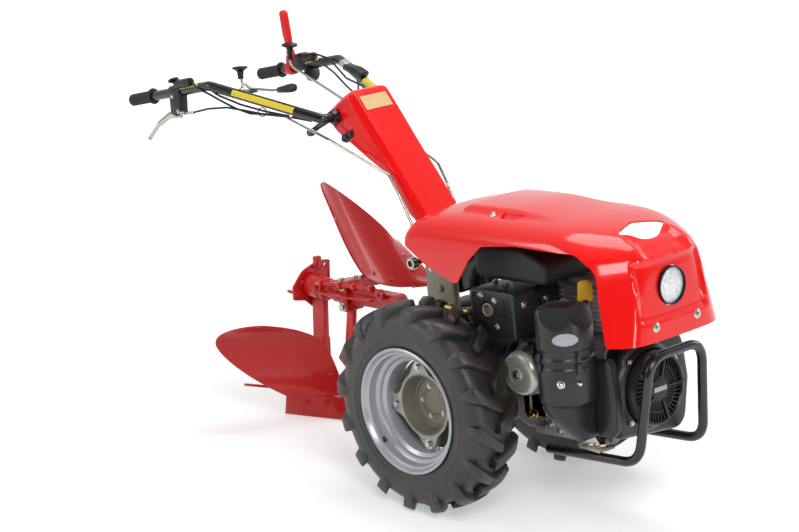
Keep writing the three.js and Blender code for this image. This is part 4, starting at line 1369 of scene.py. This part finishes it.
def turret():
    foot = 177
    body = block("turret_block", (-150, -62, foot), (-40, 62, 206))
    side = [(-148, 196, 8), (-48, 196, 8), (-48, 318, 12), (-96, 330, 14), (-148, 334, 12)]
    pieces = [soften(body, 3, 2)]
    for _, sign in SIDES:
        low, high = sorted((sign * 79, sign * 86))
        pieces.append(soften(slab("plate", "xz", side, low, high), 1.2, 2))
        low, high = sorted((sign * 50, sign * 58))
        pieces.append(soften(block("cheek", (-128, low, foot), (-62, high, 292)), 1.2, 2))
    pieces.append(soften(block("shelf", (-148, -86, 192), (-48, 86, 206)), 1.2, 2))
    pieces.append(soften(rod("pivot", (-95, -93, 262), (-95, 93, 262), 10), 1.5, 2))
    replace(seated(joined("turret_casting", pieces), "tractor", "beige_plate"), "column_turret")
    for name, sign in SIDES:
        face = sign * 86
        places = [(-70, face, 302), (-128, face, 312), (-66, face, 222), (-130, face, 222)]
        bolts(f"plate_bolts_{name}", places, (0, sign, 0), "tractor", 9, 3.5)
        bolts(f"pivot_nut_{name}", [(-95, face, 262)], (0, sign, 0), "tractor", 13, 6)
    cup = [(9, 0), (14, 0), (16, 2), (16, 18), (13, 21), (9, 22), (8, 26), (0, 26), (0, 10), (9, 10)]
    head = lathed("latch_cup", cup, (-178, -112, 325), (0, 1, 0), 32, 35)
    seated(head, COLUMN, "zinc", "steel")
    seated(
        rod("latch_core", (-178, -104, 325), (-178, -100, 325), 8.6, sides=24), COLUMN, "dark_inside",
        "black_plastic",
    )


def sideways_ring(name, centre, radius, thick):
    """A wire ring whose axis points sideways."""
    bpy.ops.mesh.primitive_torus_add(
        major_radius=radius, minor_radius=thick, major_segments=32, minor_segments=10,
    )
    piece = named(name)
    piece.data.transform(Matrix.Translation(centre) @ Matrix.Rotation(math.radians(90), 4, "X"))
    return smooth(piece, 60)


# ---- Handlebars -----------------------------------------------------------------------
BAR_BEND, BAR_END = Vector((-795, 243, 793)), Vector((-1052, 241, 750))
BAR_FOOT = Vector((-462, 126, 700))


def on_side(place, sign):
    return Vector((place[0], sign * place[1], place[2]))


def band(name, start, end, radius, first, last):
    """A thin strip that hugs a bar between two angles: 0 is its left, 90 its top and 180 its right."""
    axis = (end - start).normalized()
    above = (UP - axis * UP.dot(axis)).normalized()
    beside = axis.cross(above)

    def point_at(u, v):
        angle = math.radians(first + (last - first) * v)
        return start.lerp(end, u) + (beside * math.cos(angle) + above * math.sin(angle)) * radius

    strip = sheet_of(name, point_at, 6, 10)
    apply(strip, "SOLIDIFY", thickness=0.8, offset=0)
    return smooth(strip, 40)


def grip(name, sign):
    start, end = on_side(BAR_END, sign), on_side((-1156, 241, 732), sign)
    length = (end - start).length
    profile = [(0, 1), (22, 1), (23, 3), (22, 6), (16.4, 8)]
    ribs = 17
    for rib in range(ribs):
        base = 10 + rib * (length - 24) / ribs
        profile += [(15.6, base), (17.2, base + 1.2), (17.2, base + 3.6), (15.6, base + 4.8)]
    profile += [(17.4, length - 10), (17.2, length - 4), (13, length), (0, length)]
    piece = turning(f"grip_{name}_ribbed", profile, start, end - start, 40)
    replace(seated(smooth(piece, 28), COLUMN, "grip_rubber"), f"grip_{name}")


def bars():
    clamp = [rod("clamp_tube", ROOT - LEFT * 97.5, ROOT + LEFT * 97.5, 18)]
    for _, sign in SIDES:
        clamp.append(rod("clamp_collar", ROOT + LEFT * sign * 76, ROOT + LEFT * sign * 90, 20))
    pieces = [soften(piece, 1.5, 2) for piece in clamp]
    replace(seated(joined("bar_clamp_turned", pieces), COLUMN, "black_steel"), "bar_clamp")
    for name, sign in SIDES:
        path = [on_side(place, sign) for place in (ROOT + LEFT * 98.5, BAR_FOOT, BAR_BEND, BAR_END)]
        bar = pipe(f"bar_{name}", path, 14, 34, 6, 10)
        replace(seated(bar, COLUMN, "black_steel"), f"handlebar_{name}")
        grip(name, sign)
        foot, bend = on_side(BAR_FOOT, sign), on_side(BAR_BEND, sign)
        if name == "right":
            dome = [(0, 0), (5.5, 0), (5, 3), (2.5, 4.6), (0, 5)]
            places = [foot.lerp(bend, share) + Vector((0, -4, -13)) for share in (0.27, 0.84)]
            studs = [lathed("stud", dome, place, (0.5, -0.8, -0.1), 20, 40) for place in places]
            seated(joined("bar_studs_right", studs), COLUMN, "chrome", "zinc")
    labels = (
        # name, side, stretch of the bar, from and to, radius, angles, look
        ("bar_label_right", -1, (BAR_FOOT, BAR_BEND), 0.24, 0.78, 14.5, 128, 196, "label_yellow"),
        ("bar_label_top", -1, (BAR_BEND, BAR_END), 0.14, 0.46, 14.6, 96, 158, "label_yellow"),
        ("bar_label_left", 1, (BAR_FOOT, BAR_BEND), 0.30, 0.47, 14.5, 70, 175, "label_yellow"),
        ("bar_label_left_top", 1, (BAR_BEND, BAR_END), 0.30, 0.62, 14.6, 96, 158, "label_beige"),
    )
    for name, sign, stretch, near, far, radius, first, last, look in labels:
        start, end = (on_side(place, sign) for place in stretch)
        strip = band(name, start.lerp(end, near), start.lerp(end, far), radius, first, last)
        seated(strip, COLUMN, look, "yellow")

    box = slab(
        "switch_box", "xz",
        [(-700, 778, 4), (-626, 758, 4), (-618, 772, 6), (-650, 786, 5), (-698, 794, 5)], 168, 198,
    )
    seated(soften(box, 3, 2), COLUMN, "black_plastic")
    cap = slab(
        "switch_cap", "xz", [(-738, 786, 3), (-706, 778, 3), (-698, 792, 5), (-724, 804, 6)], 184, 208,
    )
    seated(soften(cap, 3, 2), COLUMN, "rim_silver", "rim_silver")

    # Short lever under the right-hand root that frees the bars.
    lever = pipe("bar_release", [(-470, -112, 690), (-500, -112, 676), (-533, -112, 657)], 8, 12)
    knob = soften(rod("release_end", (-534, -121, 657), (-534, -103, 657), 11), 3, 3)
    seated(joined("bar_release", [lever, knob]), COLUMN, "black_steel")


def perches():
    # Right: clutch lever housing with the throttle above it.
    side = [(-962, 706, 9), (-940, 700, 9), (-918, 708, 8), (-914, 766, 8), (-926, 774, 6), (-962, 772, 6)]
    housing = soften(slab("perch", "xz", side, -259, -228), 4, 3)
    collar = soften(rod("perch_collar", (-966, -242, 764.5), (-914, -242, 773.2), 19.5), 2, 2)
    cap = soften(rod("perch_cap", (-938, -244, 788), (-876, -244, 797), 15), 5, 3)
    coil = soften(rod("perch_coil", (-905, -252, 795), (-862, -252, 802), 13), 4, 3)
    right = joined("lever_perch_right_moulding", [housing, collar, cap, coil])
    replace(seated(right, COLUMN, "black_plastic"), "lever_perch_right")
    screws = [(-946, -259, 758), (-924, -259, 716)]
    bolts("perch_screws", screws, (0, -1, 0), COLUMN, 8, 3.5)
    pin = lathed(
        "perch_pin", [(0, 0), (6.5, 0), (6.5, 4), (4, 6), (0, 6.5)], (-908, -257, 712), (0.3, -1, 0), 24,
        35,
    )
    seated(pin, COLUMN, "zinc", "zinc")
    thumb = [(0, 0), (4, 0), (4.5, 14), (8, 18), (15, 20), (16, 23), (15, 26), (4, 28), (0, 28)]
    throttle = lathed("throttle_thumb", thumb, (-946, -243, 780), (-0.5, 0.1, 1), 32, 35)
    seated(throttle, COLUMN, "black_plastic")

    side = [(-984, 750, 9), (-934, 756, 9), (-930, 800, 10), (-956, 806, 8), (-984, 798, 8)]
    left = soften(slab("perch", "xz", side, 226, 259), 4, 3)
    lump = soften(rod("perch_lump", (-936, 232, 792), (-892, 236, 798), 13), 4, 3)
    plate = soften(rod("perch_disc", (-922, 240, 748), (-912, 240, 750), 27), 2, 2)
    replace(
        seated(joined("lever_perch_left_moulding", [left, lump, plate]), COLUMN, "black_plastic"),
        "lever_perch_left",
    )

    # Clutch lever: a flat blade, widest at its pivot, that ends in a ball.
    spine = bent([(-932, -244, 706), (-975, -250, 702), (-1020, -258, 674), (-1061, -262, 634)], 40, 10)
    sections = []
    for index, here in enumerate(spine):
        share = index / (len(spine) - 1)
        wide, thick = 11 - 5.0 * share, 5.0 - 1.0 * share
        before, after = spine[max(0, index - 1)], spine[min(len(spine) - 1, index + 1)]
        direction = (after - before).normalized()
        across = direction.cross(LEFT).normalized()
        ring = [(math.cos(TURN * k / 16), math.sin(TURN * k / 16)) for k in range(16)]
        sections.append([here + across * wide * a + LEFT * thick * b for a, b in ring])
    blade = loft("clutch_blade", sections)
    ball = lathed(
        "ball", [(0, -6.5), (4.5, -4.8), (6.5, 0), (4.5, 4.8), (0, 6.5)], (-1064, -262, 631), (0, 1, 0), 24,
        80,
    )
    replace(
        seated(joined("brake_lever_blade", [smooth(blade, 50), ball]), COLUMN, "zinc", "cast_aluminium"),
        "brake_lever",
    )

    # Left: the red dead-man's paddle on its collar, and the knob of the long rod.
    paddle = slab(
        "paddle", "xz",
        [
            (-1015, 800, 4), (-1000, 800, 5), (-1002, 850, 20), (-1011, 922, 8), (-1024, 930, 8),
            (-1037, 922, 8), (-1030, 860, 20),
        ],
        233, 249,
    )
    ring = rod("paddle_ring", (-1018, 241, 756), (-994, 241, 760.5), 21)
    neck = slab(
        "paddle_neck", "xz", [(-1022, 764), (-996, 768), (-994, 792, 6), (-1002, 812, 5), (-1018, 808, 5)],
        230, 252,
    )
    pieces = [soften(paddle, 5, 4), soften(ring, 2.5, 2), soften(neck, 3, 3)]
    replace(seated(joined("safety_paddle", pieces), COLUMN, "lever_red"), "safety_lever")
    bolts("paddle_pivot", [(-1007, 230, 800)], (0, -1, 0), COLUMN, 9, 4)


def shift_levers():
    mushroom = [
        (0, 0), (8.5, 0), (8, 8), (9.5, 20), (16, 26), (21, 28), (22, 31), (20, 34), (6, 36), (0, 36),
    ]
    knob = lathed("gear_knob_moulding", mushroom, (-729, -182, 806), (-0.1, 0.1, 1), 40, 35)
    bracket = soften(block("bracket", (-762, -214, 764), (-708, -142, 769)), 1, 2)
    lever = joined("gear_lever_pieces", [knob, bracket])
    stem = pipe("gear_stem", [(-722, -190, 768), (-720, -186, 790), (-729, -182, 812)], 4, 20)
    replace(seated(lever, COLUMN, "black_plastic"), "gear_knob")
    ball = lathed(
        "gear_nut", [(0, 0), (8, 0), (9, 4), (8, 10), (5, 13), (0, 13)], (-722, -190, 769), (0, 0, 1), 24,
        35,
    )
    seated(joined("gear_stem", [stem, ball]), COLUMN, "zinc", "steel")
    handle = [(0, 0), (6, 0), (8.5, 4), (11.5, 40), (12.5, 62), (10, 72), (5, 76), (0, 77)]
    grip_piece = lathed("selector_grip", handle, (-612, -150, 776), (0.99, 0, 0.16), 40, 35)
    replace(seated(grip_piece, COLUMN, "black_plastic"), "selector_lever")
    arm = pipe(
        "selector_arm", [(-752, -152, 786), (-728, -152, 774), (-640, -150, 774), (-608, -150, 777)], 4, 16,
    )
    seated(arm, COLUMN, "zinc", "steel")
    top = [(0, 0), (7, 0), (7.5, 20), (10, 34), (16, 38), (23, 40), (24, 43), (22, 46), (0, 47)]
    plunger = lathed("rod_knob", top, (-972, 206, 790), (0.1, 0, 1), 40, 35)
    seated(plunger, COLUMN, "black_plastic")


def rods_and_cables():
    lower = [(-462, 112, 641), (-256, 92, 557), (-224, 90, 505), (-176, 88, 410)]
    right = pipe(
        "shift_rod_right", [on_side(place, -1) for place in [(-584, 150, 701), *lower]], 4.2, 26, 5, 8,
    )
    replace(seated(right, COLUMN, "zinc", "steel"), "control_rod_right")
    left_path = [(-972, 206, 794), (-968, 207, 770), (-923, 200, 757), (-700, 150, 701), *lower]
    left = pipe("shift_rod_left", left_path, 4.2, 20, 5, 8)
    replace(seated(left, COLUMN, "zinc", "steel"), "control_rod_left")
    for name, sign in SIDES:
        place = Vector((-178, sign * 88, 414))
        fork = soften(block("fork", place - Vector((9, 6, 10)), place + Vector((9, 6, 16))), 2, 2)
        pin = rod("fork_pin", place - LEFT * 10, place + LEFT * 10, 4, sides=20)
        seated(joined(f"rod_fork_{name}", [fork, pin]), COLUMN, "zinc", "steel")
    routes = {
        "clutch_cable": [
            (-906, -248, 711), (-884, -243, 712), (-814, -240, 727), (-744, -228, 733), (-692, -208, 724),
            (-642, -190, 715), (-574, -165, 711), (-521, -142, 703), (-456, -112, 692),
        ],
        "throttle_cable": [
            (-862, -252, 800), (-822, -260, 786), (-785, -250, 770), (-758, -236, 752), (-718, -218, 730),
            (-676, -204, 716), (-642, -190, 714), (-560, -160, 706), (-500, -134, 694),
        ],
        "brake_cable": [
            (-790, -236, 776), (-763, -240, 768), (-702, -215, 742), (-640, -190, 724), (-562, -162, 709),
            (-490, -130, 697),
        ],
        "left_cable_a": [
            (-905, 236, 798), (-880, 230, 806), (-820, 226, 796), (-770, 205, 780), (-700, 180, 752),
            (-613, 160, 738), (-540, 120, 720),
        ],
        "left_cable_b": [
            (-912, 232, 786), (-850, 218, 786), (-760, 190, 762), (-680, 160, 734), (-600, 130, 712),
            (-505, 92, 706),
        ],
        "left_cable_loop": [(-612, 150, 742), (-600, 130, 762), (-560, 100, 766), (-530, 70, 742)],
    }
    for name, route in routes.items():
        seated(pipe(name, route, 3, 36, 4, 6), COLUMN, "black_plastic")
    ferrule = rod("ferrule", (-912, -249, 710), (-876, -243, 712.6), 5, 4, 20)
    seated(soften(ferrule, 0.8, 1), COLUMN, "zinc", "zinc")
    ring = sideways_ring("cable_ring", (0, 0, 0), 12, 1.6)
    ring.data.transform(Matrix.Translation((-640, -190, 720)) @ Matrix.Rotation(math.radians(35), 4, "Z"))
    seated(ring, COLUMN, "black_steel")


column_cover()
turret()
bars()
perches()
shift_levers()
rods_and_cables()


# ---- Quarter-turn plough --------------------------------------------------------------
PLOUGH_BODIES = "plough_bodies"
SHARE_FLOOR = -389.9  # where the share rests, below the hub
FRONT_LOW, REAR_LOW = Vector((80, 30, -318)), Vector((-22, -97, -318))
FRONT_TOP, REAR_TOP = Vector((41, -9, -160)), Vector((-66, -269, -79))
BOARD_EDGES = {
    "bottom": (FRONT_LOW, (28, -36, -319), REAR_LOW),
    "top": (FRONT_TOP, (4, -119, -104), REAR_TOP),
    "front": (FRONT_LOW, (56, 24, -245), FRONT_TOP),
    "rear": (REAR_LOW, (-85, -176, -257), (-142, -252, -166), REAR_TOP),
}
UPRIGHT = Matrix.Rotation(BODY_ANGLE, 4, "X") @ Matrix.Scale(-1, 4, LEFT)


def through(places, t):
    """A smooth curve that passes through evenly timed places."""
    total = Vector()
    count = len(places) - 1
    for i, place in enumerate(places):
        weight = 1.0
        for j in range(count + 1):
            if j != i:
                weight *= (t * count - j) / (i - j)
        total += Vector(place) * weight
    return total


def board_at(u, v):
    """A place on the mouldboard: u runs from front to rear, v from bottom to top."""
    sides = through(BOARD_EDGES["bottom"], u) * (1 - v) + through(BOARD_EDGES["top"], u) * v
    ends = through(BOARD_EDGES["front"], v) * (1 - u) + through(BOARD_EDGES["rear"], v) * u
    low_corners = FRONT_LOW * (1 - u) * (1 - v) + REAR_LOW * u * (1 - v)
    top_corners = FRONT_TOP * (1 - u) * v + REAR_TOP * u * v
    return sides + ends - low_corners - top_corners


def eased(u, v):
    """Rounds the wing corner of the board."""
    radius = 0.3
    over_u, over_v = (u - 1 + radius) / radius, (v - 1 + radius) / radius
    if over_u <= 0 or over_v <= 0:
        return u, v
    shrink = max(over_u, over_v) / math.hypot(over_u, over_v)
    return 1 - radius + over_u * shrink * radius, 1 - radius + over_v * shrink * radius


def plough_body(name, matrix):
    def place(piece, node, look="plough_red", slot=None):
        piece.data.transform(matrix)
        if matrix.determinant() < 0:
            piece.data.flip_normals()
        seated(piece, PLOUGH_BODIES, look, slot, ON_HUB)
        if node:
            replace(piece, node)

    board = sheet_of(f"mouldboard_{name}_pressing", lambda u, v: board_at(*eased(u, v)), 72, 54)
    looking(board, FORWARD)
    apply(board, "SOLIDIFY", thickness=6, offset=-1)
    place(soften(board, 1.6, 3, 50), f"mouldboard_{name}")

    front, back = Vector((115, 26, SHARE_FLOOR)), Vector((-70, -70, SHARE_FLOOR))
    behind = Vector((0.7, -0.66, 0.28)).normalized() * -6.5
    high_front, high_back = board_at(0, 0.03) + behind, board_at(1, 0.03) + behind

    def share_at(u, v):
        return front.lerp(back, u).lerp(high_front.lerp(high_back, u), v)

    share = looking(sheet_of(f"share_{name}_blade", share_at, 8, 4), FORWARD)
    apply(share, "SOLIDIFY", thickness=7, offset=-1)
    place(soften(share, 1.4, 2, 30), f"share_{name}")

    leg = slab("leg", "xy", [(-15, -2, 2), (35, -2, 2), (35, 16, 2), (-15, 16, 2)], -296, -34)
    foot = slab("foot", "yz", [(-2, -290), (16, -290), (22, -356), (6, -356)], -12, 14)
    landside = slab(
        "landside", "xz", [(-95, -390.4, 4), (45, -390.4, 4), (45, -330, 6), (-95, -330, 16)], 18, 26,
    )
    cheek = slab("cheek", "xz", [(-14, -150, 8), (34, -150, 8), (38, -340, 8), (-24, -340, 8)], 16, 21)
    pieces = [soften(piece, 1.6, 2) for piece in (leg, foot, landside, cheek)]
    place(joined(f"leg_{name}_weldment", pieces), f"leg_{name}")

    # Stay from the leg to the wing, and the thin rod behind the share.
    stay = pipe("stay", [(-12, 8, -205), (-60, -90, -208), (-92, -156, -205)], 7, 30)
    tail = pipe("tail", [(-60, -56, -312), (-104, -112, -303), (-140, -162, -293)], 4, 40)
    place(joined(f"stays_{name}", [stay, tail]), None)
    facing_out = (back - front).cross(high_front - front).normalized()
    if facing_out.z < 0:
        facing_out = -facing_out
    heads = [
        bolt("share_bolt", share_at(u, 0.66), facing_out, 16, 2.6, washer=False, sides=24)
        for u in (0.34, 0.66)
    ]
    heads += [
        bolt("board_bolt", board_at(u, v), (0.7, -0.66, 0.15), 13, 1.6, washer=False, sides=24)
        for u, v in ((0.10, 0.40), (0.12, 0.72))
    ]
    place(joined(f"plough_bolts_{name}", heads), None)


def turning_gear():
    hub_profile = [(16.6, -18), (30, -18), (34, -14), (34, 31), (30, 35), (16.6, 35)]
    hub_piece = lathed("turning_hub_machined", hub_profile, (0, 0, 0), (1, 0, 0), 64, 30)
    replace(seated(hub_piece, PLOUGH_BODIES, "plough_red", None, ON_HUB), "turning_hub")

    sector = [
        (8, -70, 8), (62, -48, 12), (76, -8, 6), (76, 57, 5), (36, 63, 14), (-26, 44, 50), (-63, 2, 10),
        (-61, -37, 5), (-19, -46, 6),
    ]
    plate = slab("sector", "yz", sector, -31, -23, 10)
    cutters = [
        rod("hole", (-60, y, z), (0, y, z), r) for y, z, r in ((58, 46, 5.5), (-32, 13, 5.5), (0, 0, 16.6))
    ]
    carved(plate, *cutters)
    soften(plate, 1.0, 2)
    lug = soften(block("lug", (-25, 10, 44), (-7, 32, 80)), 4, 3)
    pin = soften(rod("pin", (-27, -52, -18), (-61, -52, -18), 5), 1.5, 2)
    replace(
        seated(joined("sector_plate_cut", [plate, lug, pin]), "tractor", "plough_red", None, ON_HUB),
        "sector_plate",
    )
    bolts(
        "sector_bolts", [(-23, -52, -18), (-23, 60, -20)], (1, 0, 0), "tractor", 13, 6, "plough_red",
        "plough_red", ON_HUB,
    )
    bolts("spindle_nut", [(-50, 0, 0)], (-1, 0, 0), "tractor", 30, 12, "bolt_zinc", "steel", ON_HUB)

    collar = [(0, 41), (30, 41), (33, 44), (33, 54), (30, 57), (24, 60), (24, 116), (0, 116)]
    boss = lathed("boss", collar, (0, 0, 0), (1, 0, 0), 56, 30)
    shaft = soften(rod("spindle", (44, 0, 0), (-46, 0, 0), 15.6), 1, 2)
    replace(
        seated(joined("headstock_turned", [boss, shaft]), "tractor", "plough_red", None, ON_HUB),
        "headstock",
    )


def beam_and_coulter():
    drawbar = [
        (-223, 26, 4), (-300, 26, 20), (-378, 150, 20), (-612, 150, 4), (-612, 195, 4), (-348, 195, 24),
        (-272, 76, 24), (-223, 76, 4),
    ]
    replace(
        seated(soften(slab("beam_tube", "xz", drawbar, -20, 20, 8), 4, 3), "tractor", "plough_red"),
        "plough_beam",
    )
    jaw = soften(block("jaw", (-574, -32, 128), (-540, 32, 214)), 3, 3)
    stem = soften(
        slab(
            "stem", "xz",
            [(-570, 134), (-544, 134), (-560, 20), (-590, -52, 6), (-626, -20, 6), (-590, 30)], -8, 8,
        ),
        2, 2,
    )
    replace(seated(joined("coulter_clamp", [jaw, stem]), "tractor", "plough_red"), "coulter")
    bolts("coulter_bolts", [(-557, -32, 142), (-557, -32, 202)], (0, -1, 0), "tractor", 16, 9)
    bolts("coulter_top_bolts", [(-566, -20, 214), (-548, 18, 214)], (0, 0, 1), "tractor", 14, 9)

    # Screw and link that set the side draft, along the beam.
    screw = [rod("screw", (-640, -40, 204), (-420, -40, 212), 6)]
    for x in (-640, -560, -500, -430):
        z = 204 + (x + 640) * 0.036
        screw.append(soften(rod("nut", (x, -40, z), (x + 14, -40, z + 0.5), 12, sides=6), 1, 1))
    seated(joined("draft_screw", screw), "tractor", "plough_red")
    link = slab(
        "draft_link", "xy", [(-646, -56, 10), (-420, -54, 14), (-420, -30, 10), (-646, -30, 10)], 176, 182,
    )
    seated(soften(link, 1.2, 2), "tractor", "plough_red")
    eye = [(6, -8), (14, -8), (16, -5), (16, 5), (14, 8), (6, 8)]
    for index, (x, z) in enumerate(((-398, 196), (-330, 172))):
        seated(lathed(f"beam_eye_{index}", eye, (x, -30, z), (0, 1, 0), 32, 30), "tractor", "plough_red")
    dressed("rear_hitch", 5, 3)
    bolts("hitch_bolts", [(-200, -48, 20), (-200, -48, 66)], (0, -1, 0), "tractor", 16, 9)
    lynch = sideways_ring("hitch_pin_ring", (-205, -60, 96), 16, 2)
    seated(lynch, "tractor", "steel")


plough_body("lower", Matrix.Identity(4))
plough_body("upper", UPRIGHT)
turning_gear()
beam_and_coulter()


# ---- Front guard ----------------------------------------------------------------------
def guard():
    path = [
        (300, -123, -105), (606, -123, -96), (640, -98, 172), (640, 98, 172), (606, 123, -96),
        (300, 123, -105),
    ]
    hoop = pipe("guard_hoop", path, 12.5, 62, 7, 14)
    replace(seated(hoop, "tractor", "black_steel"), "bumper")


guard()


# ---- Everything else keeps its CAD shape, with worked edges ----------------------------
for node in NODES:
    if node not in REPLACED:
        dressed(node)


# ---- Studio ---------------------------------------------------------------------------
ROOM_LIGHT = 0.20  # what the white room gives to dull surfaces


def camera_rays(graph):
    """1 where the camera, a mirror or a glass looks straight at the surface."""
    rays = ("Is Camera Ray", "Is Glossy Ray", "Is Transmission Ray")
    camera, glossy, clear = (graph.node("ShaderNodeLightPath", out=ray) for ray in rays)
    return camera.maths("MAXIMUM", camera.maths("MAXIMUM", camera, glossy), clear)


def graded(graph, value, start, end, **settings):
    """Goes from the second number of start to the second of end as value goes between the first ones."""
    inputs = {
        "Value": value, "From Min": start[0], "From Max": end[0], "To Min": start[1], "To Max": end[1],
    }
    return graph.node("ShaderNodeMapRange", settings, inputs)


def studio_floor():
    """Pale ground that glows white to the camera, but less around the machine, under its shadow."""
    bpy.ops.object.select_all(action="DESELECT")
    bpy.ops.mesh.primitive_plane_add(size=60, location=(0, 0, -0.0005))
    floor = named("studio_floor")
    material = bpy.data.materials.new("studio_floor")
    graph = Graph(material)
    place = graph.node("ShaderNodeTexCoord", out="Object")
    away = graph.node("ShaderNodeVectorMath", {"operation": "LENGTH"}, {0: place}, out="Value")
    fade = graded(graph, away, (0.7, 0.42), (3.0, 1.0), interpolation_type="SMOOTHSTEP")
    diffuse = graph.node("ShaderNodeBsdfDiffuse", None, {"Color": (0.80, 0.80, 0.80)})
    light = {"Color": (1, 1, 1), "Strength": fade * camera_rays(graph)}
    glow = graph.node("ShaderNodeEmission", None, light)
    both = graph.node("ShaderNodeAddShader", None, {0: diffuse, 1: glow})
    graph.node("ShaderNodeOutputMaterial", None, {0: both})
    floor.data.materials.append(material)


def studio_room():
    """White behind the machine; in reflections, darker towards the viewer's side."""
    world = bpy.data.worlds.new("studio")
    bpy.context.scene.world = world
    graph = Graph(world)
    direction = graph.node("ShaderNodeTexCoord", out="Generated")
    viewer = {0: direction, 1: (0.72, -0.68, -0.12)}
    towards = graph.node("ShaderNodeVectorMath", {"operation": "DOT_PRODUCT"}, viewer, out="Value")
    reflected = graded(graph, towards, (-0.35, 0.85), (0.5, 0.10))
    straight = graph.node("ShaderNodeLightPath", out="Is Camera Ray")
    seen = graph.node("ShaderNodeMix", None, {"Factor": straight, "A": reflected, "B": 1.0}, out="Result")
    levels = {"Factor": camera_rays(graph), "A": ROOM_LIGHT, "B": seen}
    strength = graph.node("ShaderNodeMix", None, levels, out="Result")
    room = graph.node("ShaderNodeBackground", None, {"Color": (1, 1, 1), "Strength": strength})
    graph.node("ShaderNodeOutputWorld", None, {0: room})


def studio_lamps():
    lamps = [
        # name, place, aimed at, width, height, watts
        ("key_box", (3.4, -2.4, 3.2), (0.2, 0, 0.4), 1.8, 1.8, 105),
        ("side_box", (-2.2, -3.8, 2.2), (-0.3, 0, 0.4), 1.6, 1.6, 50),
        ("top_box", (0.0, 0.8, 3.8), (0.1, 0, 0.4), 2.4, 1.8, 60),
        ("front_strip", (4.2, -0.2, 1.2), (0.9, 0, 0.6), 0.25, 1.8, 22),
        ("far_box", (1.5, 4.2, 2.2), (0.2, 0, 0.5), 1.6, 1.6, 30),
    ]
    for name, place, target, width, height, watts in lamps:
        bpy.ops.object.light_add(type="AREA", location=place)
        lamp = bpy.context.object
        lamp.name = name
        lamp.data.shape = "RECTANGLE"
        lamp.data.size, lamp.data.size_y = width, height
        lamp.data.energy = watts
        lamp.matrix_world = Matrix.Translation(place) @ facing(Vector(place) - Vector(target))


studio_floor()
studio_room()
studio_lamps()
bpy.context.scene.view_settings.view_transform = "Standard"
